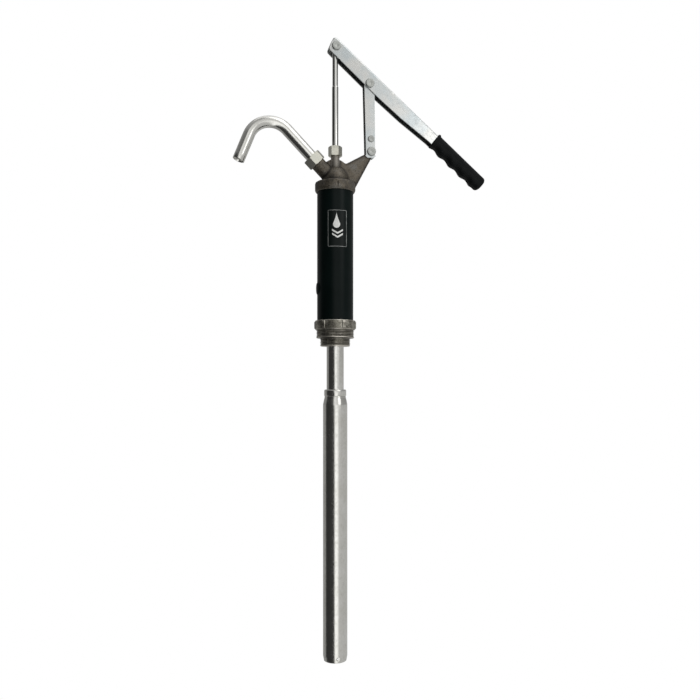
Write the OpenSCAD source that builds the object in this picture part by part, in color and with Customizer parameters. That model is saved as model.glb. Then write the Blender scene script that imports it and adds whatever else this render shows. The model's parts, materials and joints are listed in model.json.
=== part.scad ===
// Hand lever drum pump: piston pump that screws into a drum's bung, with a telescopic suction tube.
// Frame: origin on the pump's axis at the underside of the base flange, where it seats on the bung.
// +Z points up along the rod, +X towards the lever's handle, -X towards the spout, -Y is the front.
// Rest pose: handle down, rod and piston at the top of their stroke. Millimetres and degrees.

/* [Barrel] */
// Outside diameter of the pump barrel
barrel_d = 57; // [54:0.5:57]
// Wall thickness of the barrel
barrel_wall = 2; // [1.5:0.1:2]
// Height of the barrel's lower edge above the bung seat
barrel_low = 5; // [4.5:0.1:5.5]
// Height of the barrel's upper edge above the bung seat
barrel_high = 226; // [225:0.5:226.5]
// Width of the label measured round the barrel
label_w = 33; // [20:1:40]
// Height of the label
label_h = 59; // [30:1:80]
// Height of the label's centre above the bung seat
label_z = 155.5; // [80:1:170]
// Turn of the label and of the casting's notch away from the front, towards the spout
front_turn = 6.5; // [0:0.5:15]

/* [Base casting] */
// Diameter of the flange that seats on the bung
flange_d = 63.4; // [62:0.2:65]
// Height of the flange
flange_h = 14.5; // [13:0.5:16]
// Diameter over the wrench lugs on the flange
lug_d = 66; // [64:0.5:68]
// Outside diameter of the large bung thread
thread_large_d = 59.6; // [58:0.1:60]
// Length of the large bung thread
thread_large_h = 13; // [10:0.5:14]
// Outside diameter of the small bung thread
thread_small_d = 47.8; // [46:0.1:49]
// Length of the small bung thread below the large one
thread_small_h = 13; // [10:0.5:14]

/* [Suction tubes] */
// Outside diameter of the fixed upper tube
upper_tube_d = 27; // [26:0.2:27]
// Height of the fixed tube's lower end
upper_tube_low = -436; // [-440:1:-400]
// Outside diameter of the sliding lower tube
lower_tube_d = 38.4; // [38:0.1:39]
// Wall thickness of both tubes
tube_wall = 1.25; // [1:0.05:1.5]
// Height of the sliding tube's rolled collar, at its top
collar_top = -94; // [-110:1:-90]
// Height of the sliding tube's lower end
lower_tube_low = -521; // [-530:1:-515]

/* [Head casting] */
// Diameter of the head's skirt
skirt_d = 63.8; // [62:0.2:66]
// Height of the skirt's lower edge
skirt_low = 216.5; // [214:0.5:218]
// Radius of the bullet-shaped dome at its foot
dome_r = 21; // [20:0.5:23]
// Height that the dome's curve would reach without the gland
dome_h = 25; // [22:0.5:27]
// Radius of the round web that joins the spout boss and the arm over the dome
web_r = 22; // [20:0.5:23]
// Height of the web's centre
web_z = 247.7; // [246:0.5:249]
// Thickness of the arm that carries the link
arm_t = 7.8; // [6:0.2:7.8]
// Distance of the link's lower pin from the pump's axis
arm_pin_x = 58; // [55:0.5:60]
// Height of the link's lower pin
arm_pin_z = 284.9; // [280:0.5:290]

/* [Spout] */
// Slope of the spout boss away from the pump's axis
spout_tilt = 45; // [40:1:50]
// Outside diameter of the spout tube
spout_d = 18.5; // [17:0.5:19]
// Wall thickness of the spout tube
spout_wall = 1.5; // [1:0.1:2]
// Distance along the spout's axis at which the bend starts
spout_bend_start = 108.8; // [90:0.2:120]
// Centreline radius of the spout's bend
spout_bend_r = 36.5; // [30:0.5:45]
// Turn of the spout's bend
spout_turn = 113; // [90:1:120]
// Length of the straight end after the bend
spout_end = 43; // [30:1:50]
// Width across flats of the union nut
union_af = 27; // [27:0.5:30]

/* [Rod and gland] */
// Diameter of the piston rod
rod_d = 10; // [9:0.2:10]
// Height of the rod's eye, handle down
rod_pin_z = 446.2; // [430:0.2:450]
// Width across flats of the gland nut
gland_af = 19; // [18:0.5:22]
// Turn of the gland nut's front flat towards the spout
gland_turn = 15; // [0:1:30]
// Lift of the valve disc in the piston
piston_valve_gap = 4.4; // [3:0.1:5]

/* [Lever and link] */
// Slope of the lever below the horizontal, handle down
lever_slope = 39.6; // [30:0.2:45]
// Distance from the rod's pin to the link's pin along the lever
lever_pin_along = 76.4; // [70:0.2:80]
// Drop of the link's pin below the line of the rod's pin
lever_pin_drop = 6.5; // [4:0.1:7]
// Outside width of the lever's channel
lever_w = 16.5; // [16.5:0.1:18]
// Sheet thickness of the lever
lever_t = 2; // [1.6:0.1:2]
// Length from the rod's pin to the start of the grip
grip_start = 213; // [190:1:220]
// Length of the grip
grip_len = 108; // [95:1:115]
// Outside width of the link's channel
link_w = 12; // [11.6:0.1:12]
// Sheet thickness of the link
link_t = 1.8; // [1.5:0.1:1.8]
// Breadth of the link seen from the side
link_b = 16.7; // [15:0.1:17]
// Reach of the link's open edge beyond the arm's pin
link_foot = 11.3; // [8.5:0.1:12]
// Diameter of the pivot pins
pin_d = 7; // [6:0.2:7]

/* [Hidden] */

$fn = 72;
eps = 0.01;
// running clearance of pins and shafts, on the radius
run_gap = 0.08;
// gap between pieces that are screwed or pushed together, on the radius
push_gap = 0.05;

barrel_r = barrel_d / 2;
barrel_bore_r = barrel_r - barrel_wall;
gasket_t = 2;
socket_floor = barrel_low - gasket_t;
head_seat = barrel_high + gasket_t;
bump_r = 9.5;
bump_h = 2;
bump_z = 64.6;
bump_ball_r = (bump_r * bump_r + bump_h * bump_h) / (2 * bump_h);

flange_r = flange_d / 2;
lug_count = 6;
lug_w = 5;
// the lugs' turn puts a lug edge a little left of the front
lug_turn = 41.6;
base_low = -thread_large_h - thread_small_h;
thread_large_r = thread_large_d / 2;
thread_small_r = thread_small_d / 2;

seat_low = -8;
seat_high = 1;
seat_r = 16;
foot_port_r = 9;
foot_gap = 0.1;
foot_disc_r = 12;
foot_disc_t = 3;
foot_lift = 5;
foot_stem_r = 2.5;
foot_guard_z = seat_high + foot_gap + foot_disc_t + foot_lift + 0.2;
foot_guard_t = 2.4;

upper_tube_r = upper_tube_d / 2;
lower_tube_r = lower_tube_d / 2;
lower_bore_r = lower_tube_r - tube_wall;
collar_r = 17.4;
collar_h = 11;
seal_section_r = 1.3;
seal_r = upper_tube_r + run_gap + seal_section_r;
seal_z = collar_top - collar_h / 2;
end_taper_h = 8;
end_taper = 1.4;
strainer_z = lower_tube_low + end_taper_h + 1;

skirt_r = skirt_d / 2;
skirt_high = 229.3;
shoulder_r = 3;
dome_z = 233;
dome_top_r = 8;
dome_arc = acos(dome_top_r / dome_r);
gland_r = 6.85;
packing_low = 245;
packing_high = 254;
follower_high = 256;
gland_low = 273.8;
gland_high = 289.1;
rod_r = rod_d / 2;
arm_end_r = 6.2;

spout_z = 232.6;
spout_r = spout_d / 2;
boss_r = 11.5;
boss_end = 42;
union_low = 39.7;
union_high = 55;
union_lip = 51.5;
ferrule_start = boss_end + gasket_t + 0.2;

rod_shoulder = 210;
eye_start = 384.4;
eye_neck_r = 4.4;
eye_r = 6;
eye_half = 4;
stop_t = 3;
hub_r = 6;
stud_r = 4;
body_high = rod_shoulder - stop_t - piston_valve_gap - 2.6;
body_low = body_high - 10;
cup_low = body_low - 3;
follower_low = cup_low - 3;
nut_low = follower_low - 7;
piston_r = 24.2;
cup_r = barrel_bore_r - 0.3;
port_count = 6;
port_r = 4;
port_pitch_r = 15;

pin_r = pin_d / 2;
link_pin_x = lever_pin_along * cos(lever_slope) - lever_pin_drop * sin(lever_slope);
link_pin_z = rod_pin_z - lever_pin_along * sin(lever_slope) - lever_pin_drop * cos(lever_slope);
link_tilt = atan((link_pin_x - arm_pin_x) / (link_pin_z - arm_pin_z));
link_len = norm([link_pin_x - arm_pin_x, link_pin_z - arm_pin_z]);
link_rivet_at = 20;
head_r = 7;
head_h = 3.6;
washer_r = 6.6;
washer_t = 1.2;
pin_tail = 4.6;
split_r = 0.8;
// heights of the lever's channel above the line of the rod's pin
lever_top = 10.6;
lever_mouth_low = -8;
lever_tail = grip_start + 92;
// lower edge of the narrower tail inside the grip
lever_tail_low = -4.6;
grip_mid = 1.6;

// ---------- shared shapes ----------

// a ring or tube standing on z = low
module ring(outer, inner, low, high) {
    translate([0, 0, low])
        difference() {
            cylinder(r = outer, h = high - low);
            translate([0, 0, -1]) cylinder(r = inner, h = high - low + 2);
        }
}

// hexagon bar along z with both ends chamfered
module hexagon(af, low, high, chamfer) {
    corner = af / 2 / cos(30);
    intersection() {
        translate([0, 0, low]) cylinder(r = corner, h = high - low, $fn = 6);
        rotate_extrude()
            polygon([
                [0, low], [corner - chamfer, low], [corner + 1, low + (chamfer + 1) * 0.6],
                [corner + 1, high - (chamfer + 1) * 0.6], [corner - chamfer, high], [0, high]
            ]);
    }
}

// round bar along y between two depths
module bar_y(r, from, to) {
    translate([0, to, 0]) rotate([90, 0, 0]) cylinder(r = r, h = to - from);
}

// points of an arc, for outlines
function arc(cx, cy, r, from, to, steps) =
    [for (i = [0 : steps]) let (a = from + (to - from) * i / steps) [cx + r * cos(a), cy + r * sin(a)]];

// domed rivet head on the front face at y = face, pointing to -y
module dome_head(r, h, face) {
    ball = (r * r + h * h) / (2 * h);
    intersection() {
        translate([0, face - h + ball, 0]) sphere(r = ball);
        bar_y(r, face - h - 1, face);
    }
}

// ring of holes through a piston plate
module ports(low, high) {
    for (i = [0 : port_count - 1])
        rotate([0, 0, i * 360 / port_count])
            translate([port_pitch_r, 0, low - 1]) cylinder(r = port_r, h = high - low + 2, $fn = 32);
}

// frames: children are drawn along the spout's axis, the lever or the link
module spout_frame() { translate([0, 0, spout_z]) rotate([0, -spout_tilt, 0]) children(); }
module lever_frame() { translate([0, 0, rod_pin_z]) rotate([0, lever_slope, 0]) children(); }
module link_frame() { translate([arm_pin_x, 0, arm_pin_z]) rotate([0, link_tilt, 0]) children(); }
module at_lever_pin() { translate([lever_pin_along, 0, -lever_pin_drop]) children(); }

// ---------- head ----------

module arm_plate() {
    rotate([90, 0, 0])
        linear_extrude(height = arm_t, center = true)
            union() {
                translate([arm_pin_x, arm_pin_z]) circle(r = arm_end_r);
                translate([0, web_z]) circle(r = web_r);
                polygon([
                    [14, 238], [32.9, 226.6], [57.2, 271.9], [arm_pin_x + 5, arm_pin_z - 3.6],
                    [arm_pin_x, arm_pin_z], [arm_pin_x - 3, arm_pin_z + 5.4], [48.9, 281.1], [16.8, 263], [12, 262]
                ]);
            }
}

module pump_head() {
    color("#6f665e")
    difference() {
        union() {
            rotate_extrude()
                polygon(concat(
                    [[0, skirt_low], [skirt_r - 1.6, skirt_low], [skirt_r, skirt_low + 3]],
                    arc(skirt_r - shoulder_r, skirt_high, shoulder_r, 0, 90, 6),
                    [for (i = [0 : 20]) let (a = dome_arc * i / 20)
                        [dome_r * cos(a), dome_z + dome_h * sin(a)]],
                    [[0, dome_z + dome_h * sin(dome_arc)]]
                ));
            spout_frame() cylinder(r = boss_r, h = boss_end);
            arm_plate();
        }
        // socket for the barrel
        translate([0, 0, skirt_low - 1]) cylinder(r = barrel_r + push_gap, h = head_seat - skirt_low + 1);
        // chamber under the dome
        rotate_extrude()
            polygon([[0, head_seat - eps], [24, head_seat - eps], [17, 235.5], [16, 240], [9, 243], [0, 243]]);
        // passage of the rod, the packing and the gland
        translate([0, 0, 240]) cylinder(r = rod_r + 0.15, h = 40);
        translate([0, 0, packing_low]) cylinder(r = gland_r + push_gap, h = 40);
        // way out to the spout
        spout_frame() cylinder(r = 7.4, h = boss_end + 1);
        // casting notch on the skirt's front
        rotate([0, 0, -90 - front_turn])
            translate([skirt_r, 0, skirt_low - 1]) cylinder(r = 0.9, h = 12, $fn = 24);
        // hole for the link's pin
        translate([arm_pin_x, 0, arm_pin_z]) bar_y(pin_r + run_gap, -arm_t, arm_t);
    }
}

module head_gasket() {
    color("#2b2b2b") ring(barrel_r, 24.5, barrel_high, head_seat);
}

// ---------- barrel ----------

module barrel() {
    color("#1b1f1e")
    difference() {
        union() {
            translate([0, 0, barrel_low]) cylinder(r = barrel_r, h = barrel_high - barrel_low);
            // low round boss pressed out of the wall on the spout side
            intersection() {
                translate([bump_ball_r - barrel_r - bump_h, 0, bump_z]) sphere(r = bump_ball_r);
                translate([-barrel_r - bump_h - 1, -bump_r, bump_z - bump_r])
                    cube([bump_h + 3.5, 2 * bump_r, 2 * bump_r]);
            }
        }
        translate([0, 0, barrel_low - 1]) cylinder(r = barrel_bore_r, h = barrel_high - barrel_low + 2);
    }
}

module barrel_label() {
    label_angle = label_w / barrel_r * 180 / PI;
    label_t = 0.3;
    color("#c9c9c4")
    rotate([0, 0, -90 - front_turn - label_angle / 2])
        rotate_extrude(angle = label_angle)
            translate([barrel_r, label_z - label_h / 2]) square([label_t, label_h]);
}

// ---------- base ----------

module base_gasket() {
    color("#2b2b2b") ring(barrel_r, 24.5, socket_floor, barrel_low);
}

module bottom_cap() {
    color("#978e82")
    difference() {
        union() {
            rotate_extrude()
                polygon([
                    [0, base_low], [thread_small_r - 1.5, base_low], [thread_small_r, base_low + 1],
                    [thread_small_r, -thread_large_h - 0.8], [thread_small_r - 1.2, -thread_large_h - 0.8],
                    [thread_small_r - 1.2, -thread_large_h], [thread_large_r - 0.6, -thread_large_h],
                    [thread_large_r, -thread_large_h + 0.6], [thread_large_r, 0], [flange_r - 1, 0],
                    [flange_r, 1], [flange_r, flange_h - 0.6], [flange_r - 0.6, flange_h], [0, flange_h]
                ]);
            // wrench lugs round the flange
            for (i = [0 : lug_count - 1])
                rotate([0, 0, lug_turn + i * 360 / lug_count])
                    translate([flange_r - 3, -lug_w / 2, 1.4])
                        cube([lug_d / 2 - flange_r + 3, lug_w, flange_h - 2.6]);
        }
        // socket for the barrel
        translate([0, 0, socket_floor]) cylinder(r = barrel_r + push_gap, h = flange_h);
        // pocket for the foot valve, and the suction tube's hole below it
        translate([0, 0, seat_low]) cylinder(r = seat_r + push_gap, h = 30);
        translate([0, 0, base_low - 1]) cylinder(r = upper_tube_r + push_gap, h = 40);
    }
}

module foot_valve_seat() {
    color("#b08d4a")
        difference() {
            ring(seat_r, foot_port_r, seat_low, seat_high);
            // groove that leaves a raised seat under the disc
            ring(12.6, 11.2, seat_high - 1, seat_high + 1);
        }
}

module foot_valve_cage() {
    color("#b08d4a")
    difference() {
        ring(seat_r, foot_disc_r + 2, seat_high, foot_guard_z + foot_guard_t);
        // side windows that let the liquid out
        for (i = [0 : 3])
            rotate([0, 0, i * 90 + 45])
                translate([10, -4.5, seat_high + 2.4]) cube([10, 9, foot_guard_z - seat_high - 2.4]);
    }
    color("#b08d4a")
    difference() {
        translate([0, 0, foot_guard_z]) cylinder(r = foot_disc_r + 2, h = foot_guard_t);
        translate([0, 0, foot_guard_z - 1]) cylinder(r = foot_stem_r + run_gap, h = foot_guard_t + 2);
        for (i = [0 : 3])
            rotate([0, 0, i * 90])
                translate([8.4, 0, foot_guard_z - 1]) cylinder(r = 4, h = foot_guard_t + 2, $fn = 32);
    }
}

module foot_valve_disc() {
    disc_low = seat_high + foot_gap;
    color("#c7a35a")
    union() {
        translate([0, 0, disc_low]) cylinder(r = foot_disc_r, h = foot_disc_t);
        translate([0, 0, disc_low]) cylinder(r = foot_stem_r, h = foot_disc_t + 10);
    }
}

// ---------- suction tubes ----------

module upper_suction_tube() {
    color("#b9b7ae") ring(upper_tube_r, upper_tube_r - tube_wall, upper_tube_low, seat_low);
}

module tube_stop_bush() {
    color("#e4e0d4")
    difference() {
        ring(lower_bore_r - 0.35, upper_tube_r + push_gap, upper_tube_low + 2, upper_tube_low + 24);
        ring(lower_bore_r + 1, lower_bore_r - 1.6, upper_tube_low + 11, upper_tube_low + 15);
    }
}

module lower_suction_tube() {
    neck_low = collar_top - collar_h;
    shoulder_low = neck_low - 12;
    lip_r = upper_tube_r + 0.3;
    color("#b9b7ae")
    rotate_extrude()
        polygon(concat(
            [[lip_r, collar_top]],
            arc(collar_r - 2.2, collar_top - 2.2, 2.2, 90, 0, 6),
            arc(collar_r - 2.2, neck_low + 2.2, 2.2, 0, -55, 4),
            [
                [collar_r - 0.5, neck_low - 1.6], [collar_r, neck_low - 5], [lower_tube_r, shoulder_low],
                [lower_tube_r, lower_tube_low + end_taper_h], [lower_tube_r - end_taper, lower_tube_low],
                [lower_tube_r - end_taper - tube_wall, lower_tube_low],
                [lower_bore_r, lower_tube_low + end_taper_h], [lower_bore_r, shoulder_low - 0.6],
                [collar_r - tube_wall - 0.4, neck_low - 5], [collar_r - tube_wall - 0.6, neck_low - 1],
                [lip_r, neck_low - 1], [lip_r, seal_z - seal_section_r],
                [seal_r + seal_section_r, seal_z - seal_section_r],
                [seal_r + seal_section_r, seal_z + seal_section_r], [lip_r, seal_z + seal_section_r]
            ]
        ));
}

module telescope_seal() {
    color("#232323")
        translate([0, 0, seal_z]) rotate_extrude() translate([seal_r, 0]) circle(r = seal_section_r, $fn = 24);
}

module inlet_strainer() {
    plate_r = lower_bore_r - push_gap;
    color("#a7a69e")
    difference() {
        union() {
            translate([0, 0, strainer_z]) cylinder(r = plate_r, h = 0.8);
            ring(plate_r, plate_r - 0.8, strainer_z, strainer_z + 6);
        }
        for (row = [1 : 3])
            for (i = [0 : row * 6 - 1])
                rotate([0, 0, i * 60 / row])
                    translate([row * 4.8, 0, strainer_z - 1]) cylinder(r = 1.4, h = 3, $fn = 16);
        translate([0, 0, strainer_z - 1]) cylinder(r = 1.4, h = 3, $fn = 16);
    }
}

// ---------- gland ----------

module rod_packing() {
    ring_h = (packing_high - packing_low) / 4;
    color("#4a4338")
        for (i = [0 : 3])
            ring(gland_r, rod_r + run_gap, packing_low + i * ring_h, packing_low + (i + 1) * ring_h - 0.05);
}

module gland_follower() {
    color("#b08d4a") ring(gland_r, rod_r + run_gap, packing_high, follower_high);
}

module gland_nut() {
    color("#cfccc0")
    difference() {
        union() {
            rotate([0, 0, -gland_turn]) hexagon(gland_af, gland_low, gland_high, 1.4);
            translate([0, 0, follower_high]) cylinder(r = gland_r, h = gland_low - follower_high + 1);
        }
        translate([0, 0, follower_high - 1]) cylinder(r = rod_r + run_gap, h = gland_high - follower_high + 2);
    }
}

// ---------- spout ----------

module spout_washer() {
    color("#5b2f22") spout_frame() ring(boss_r - 0.3, 7.8, boss_end, boss_end + gasket_t);
}

module spout_union_nut() {
    color("#cfccc0")
    spout_frame()
        difference() {
            hexagon(union_af, union_low, union_high, 1.6);
            translate([0, 0, union_low - 1]) cylinder(r = boss_r + push_gap, h = union_lip - union_low + 1);
            translate([0, 0, union_low - 1]) cylinder(r = spout_r + 0.1, h = union_high);
        }
}

module spout_tube() {
    // the straight end is a hair thicker than the bend and laps over it, so the two fuse cleanly
    step = 0.02;
    outer = spout_r - step;
    inner = spout_r - spout_wall + step;
    color("#b9b7ae")
    spout_frame()
        union() {
            ring(outer, inner, ferrule_start, spout_bend_start);
            translate([-spout_bend_r, 0, spout_bend_start])
                rotate([90, 0, 0])
                    rotate_extrude(angle = spout_turn)
                        translate([spout_bend_r, 0])
                            difference() {
                                circle(r = outer);
                                circle(r = inner);
                            }
            translate([
                spout_bend_r * (cos(spout_turn) - 1), 0, spout_bend_start + spout_bend_r * sin(spout_turn)
            ])
                rotate([0, -spout_turn, 0])
                    ring(spout_r, spout_r - spout_wall, -0.1, spout_end);
        }
}

module spout_ferrule() {
    color("#b9b7ae") spout_frame() ring(boss_r - 0.3, spout_r - 0.02, ferrule_start, union_lip - 0.3);
}

// ---------- rod and piston ----------

module piston_rod() {
    color("#d9d9d6")
    difference() {
        union() {
            translate([0, 0, rod_shoulder]) cylinder(r = rod_r, h = eye_start - rod_shoulder);
            translate([0, 0, nut_low - 2]) cylinder(r = stud_r, h = rod_shoulder - nut_low + 3);
        }
        // threaded socket for the eye's stud
        translate([0, 0, eye_start - 16]) cylinder(r = 3 + push_gap, h = 17);
    }
}

module rod_eye() {
    color("#d0d0cc")
    union() {
        difference() {
            union() {
                translate([0, 0, eye_start]) cylinder(r = eye_neck_r, h = rod_pin_z - 4 - eye_start);
                translate([0, 0, rod_pin_z]) bar_y(eye_r, -eye_half, eye_half);
            }
            translate([0, 0, rod_pin_z]) bar_y(pin_r + run_gap, -6, 6);
        }
        translate([0, 0, eye_start - 14]) cylinder(r = 3, h = 15);
    }
}

module valve_stop() {
    color("#c9c9c4") ring(13, stud_r, rod_shoulder - stop_t, rod_shoulder);
}

module piston_body() {
    color("#b08d4a")
    difference() {
        union() {
            translate([0, 0, body_low]) cylinder(r = piston_r, h = body_high - body_low);
            translate([0, 0, body_low]) cylinder(r = hub_r, h = rod_shoulder - stop_t - body_low);
        }
        translate([0, 0, body_low - 1]) cylinder(r = stud_r, h = 40);
        ports(body_low, body_high);
    }
}

module piston_cup() {
    color("#3a2c22")
    difference() {
        translate([0, 0, cup_low]) cylinder(r = cup_r, h = body_high - 2 - cup_low);
        translate([0, 0, body_low]) cylinder(r = piston_r + push_gap, h = 20);
        translate([0, 0, cup_low - 1]) cylinder(r = stud_r, h = 10);
        ports(cup_low, body_low);
    }
}

module cup_follower() {
    color("#b08d4a")
    difference() {
        ring(23, stud_r, follower_low, cup_low);
        ports(follower_low, cup_low);
    }
}

module piston_nut() {
    color("#c9c9c4")
    difference() {
        hexagon(13, nut_low, follower_low, 1);
        translate([0, 0, nut_low - 1]) cylinder(r = stud_r, h = 10);
    }
}

module piston_valve_disc() {
    color("#26262a") ring(20.4, hub_r + 0.1, body_high + 0.1, body_high + 2.6);
}

// ---------- link ----------

module link() {
    half_b = link_b / 2;
    chamfer = 4.2;
    low = -10;
    color("#c2c4bf")
    link_frame()
        difference() {
            rotate([90, 0, 0])
                linear_extrude(height = link_w, center = true)
                    union() {
                        polygon([
                            [-link_foot + chamfer, low], [half_b - chamfer, low], [half_b, low + chamfer],
                            [half_b, link_len], [-half_b, link_len], [-link_foot, low + chamfer]
                        ]);
                        translate([0, link_len]) circle(r = half_b);
                    }
            // inside of the channel, open towards the rod
            translate([-link_foot - 1, -link_w / 2 + link_t, low - 1])
                cube([link_foot + half_b + 1 - link_t, link_w - 2 * link_t, link_len + 30]);
            // the web stops short of both ends
            translate([0, -link_w / 2 + link_t, link_len - 6]) cube([20, link_w - 2 * link_t, 40]);
            bar_y(pin_r, -20, 20);
            translate([0, 0, link_len]) bar_y(pin_r + run_gap, -20, 20);
            translate([0, 0, link_rivet_at]) bar_y(3, -20, 20);
        }
}

module link_rivet() {
    color("#cfccc0")
    link_frame()
        translate([0, 0, link_rivet_at])
            union() {
                bar_y(3, -link_w / 2 - 1, link_w / 2 + 1);
                dome_head(5.2, 2.8, -link_w / 2);
                mirror([0, 1, 0]) dome_head(5.2, 2.8, -link_w / 2);
            }
}

// clevis pin along y with a domed head in front and a cross hole in its tail
module clevis_pin(width) {
    difference() {
        union() {
            bar_y(pin_r, -width / 2 - 1, width / 2 + pin_tail);
            dome_head(head_r, head_h, -width / 2);
        }
        translate([0, width / 2 + washer_t + 1.4, -10]) cylinder(r = split_r + push_gap, h = 20, $fn = 16);
    }
}

module pin_washer(width) {
    difference() {
        bar_y(washer_r, width / 2, width / 2 + washer_t);
        bar_y(pin_r, 0, width);
    }
}

// split pin through the tail: one leg through the hole, with its eye above
module split_pin(width) {
    y = width / 2 + washer_t + 1.4;
    translate([0, y, -5.5]) cylinder(r = split_r, h = 10.6, $fn = 16);
    translate([0, y, 6.2]) rotate([90, 0, 0]) rotate_extrude($fn = 32) translate([1.7, 0]) circle(r = 0.7, $fn = 16);
}

module link_pin() {
    color("#cfccc0") link_frame() clevis_pin(link_w);
}

module link_pin_washer() {
    color("#cfccc0") link_frame() pin_washer(link_w);
}

module link_split_pin() {
    color("#b9b7ae") link_frame() split_pin(link_w);
}

// ---------- lever ----------

module lever_side() {
    polygon(concat(
        arc(-6, lever_top - 5, 5, 180, 90, 6),
        [
            [lever_tail, lever_top], [lever_tail, lever_tail_low], [grip_start, lever_tail_low],
            [grip_start, lever_mouth_low], [206, lever_mouth_low], [150, -12.6], [98, -14], [60, -13.4],
            [4, -12.4]
        ],
        arc(-1, -6.6, 6, 245, 190, 6)
    ));
}

module lever() {
    inner = lever_w - 2 * lever_t;
    color("#c2c4bf")
    lever_frame()
        difference() {
            rotate([90, 0, 0]) linear_extrude(height = lever_w, center = true) lever_side();
            // inside of the channel, open below; the top sheet turns down over the nose
            translate([-11 + lever_t, -inner / 2, -30]) cube([400, inner, 30 + lever_top - lever_t]);
            translate([-20, -inner / 2, -30]) cube([40, inner, 30 + 1]);
            bar_y(pin_r, -20, 20);
            at_lever_pin() bar_y(pin_r, -20, 20);
        }
}

module grip_side() {
    wave_pitch = 23.8;
    wave = 1.4;
    first_valley = grip_start + 11;
    wave_start = grip_start + 8;
    wave_end = grip_start + grip_len - 12;
    steps = 48;
    top = grip_mid + 12.2;
    low = grip_mid - 10.8;
    polygon(concat(
        [[grip_start, top + 1.4], [grip_start + 3, top + 1.6], [grip_start + 6, top]],
        arc(grip_start + grip_len - 5.5, top - 5.5, 5.5, 90, 0, 8),
        arc(grip_start + grip_len - 5, low + 5, 5, 0, -85, 8),
        [for (i = [steps : -1 : 0]) let (x = wave_start + (wave_end - wave_start) * i / steps)
            [x, low + wave * cos((x - first_valley) * 360 / wave_pitch)]],
        [[grip_start + 5, low], [grip_start + 3, low - 0.8], [grip_start, low - 0.6]]
    ));
}

module lever_grip() {
    round_r = 9;
    half_w = 11.5;
    half_h = 14.5;
    color("#161616")
    lever_frame()
        difference() {
            intersection() {
                rotate([90, 0, 0]) linear_extrude(height = 40, center = true) grip_side();
                translate([grip_start - 1, 0, grip_mid])
                    rotate([90, 0, 90])
                        linear_extrude(height = grip_len + 2)
                            union() {
                                square([2 * half_w - 2 * round_r, 2 * half_h], center = true);
                                square([2 * half_w, 2 * half_h - 2 * round_r], center = true);
                                for (sx = [-1, 1], sy = [-1, 1])
                                    translate([sx * (half_w - round_r), sy * (half_h - round_r)])
                                        circle(r = round_r);
                            }
            }
            // pocket for the lever's tail
            translate([grip_start - 1, -lever_w / 2, lever_tail_low])
                cube([lever_tail - grip_start + 1, lever_w, lever_top - lever_tail_low]);
        }
}

// the rod's pin is an open pivot: its middle is left out, so the eye can pass between head and tail
module rod_pin() {
    gap = eye_half + 0.6;
    color("#cfccc0")
    lever_frame()
        difference() {
            clevis_pin(lever_w);
            translate([-10, -gap, -10]) cube([20, 2 * gap, 20]);
        }
}

module lever_pin() {
    color("#cfccc0") lever_frame() at_lever_pin() clevis_pin(lever_w);
}

module lever_pin_washers() {
    color("#cfccc0")
    lever_frame() {
        pin_washer(lever_w);
        at_lever_pin() pin_washer(lever_w);
    }
}

module lever_split_pins() {
    color("#b9b7ae")
    lever_frame() {
        split_pin(lever_w);
        at_lever_pin() split_pin(lever_w);
    }
}

pump_head();
head_gasket();
barrel();
barrel_label();
base_gasket();
bottom_cap();
foot_valve_seat();
foot_valve_cage();
foot_valve_disc();
upper_suction_tube();
tube_stop_bush();
lower_suction_tube();
telescope_seal();
inlet_strainer();
rod_packing();
gland_follower();
gland_nut();
spout_washer();
spout_union_nut();
spout_tube();
spout_ferrule();
piston_rod();
rod_eye();
valve_stop();
piston_body();
piston_cup();
cup_follower();
piston_nut();
piston_valve_disc();
link();
link_rivet();
link_pin();
link_pin_washer();
link_split_pin();
lever();
lever_grip();
rod_pin();
lever_pin();
lever_pin_washers();
lever_split_pins();
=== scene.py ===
import json
import math

import bmesh
import bpy
import numpy as np
from mathutils import Matrix, Vector, noise

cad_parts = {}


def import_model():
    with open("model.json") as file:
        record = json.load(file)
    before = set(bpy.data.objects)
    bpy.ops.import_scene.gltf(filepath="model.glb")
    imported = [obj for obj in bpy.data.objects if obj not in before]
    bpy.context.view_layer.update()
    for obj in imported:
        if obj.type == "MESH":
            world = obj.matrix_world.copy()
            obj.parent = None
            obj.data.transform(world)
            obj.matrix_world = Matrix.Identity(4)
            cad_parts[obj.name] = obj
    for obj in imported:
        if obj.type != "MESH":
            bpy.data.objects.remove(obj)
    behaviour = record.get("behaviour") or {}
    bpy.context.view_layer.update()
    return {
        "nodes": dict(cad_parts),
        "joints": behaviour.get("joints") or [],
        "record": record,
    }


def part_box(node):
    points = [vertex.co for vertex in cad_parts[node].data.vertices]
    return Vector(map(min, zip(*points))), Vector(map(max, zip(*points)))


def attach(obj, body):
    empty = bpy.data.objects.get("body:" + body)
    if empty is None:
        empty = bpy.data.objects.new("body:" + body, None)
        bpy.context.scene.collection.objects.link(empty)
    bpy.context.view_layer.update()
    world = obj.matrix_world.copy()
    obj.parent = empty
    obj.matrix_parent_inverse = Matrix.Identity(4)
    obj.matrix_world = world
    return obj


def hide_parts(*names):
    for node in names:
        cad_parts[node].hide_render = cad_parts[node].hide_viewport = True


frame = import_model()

MM = 0.001

# ---------- sizes, as in the CAD part ----------

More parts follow.
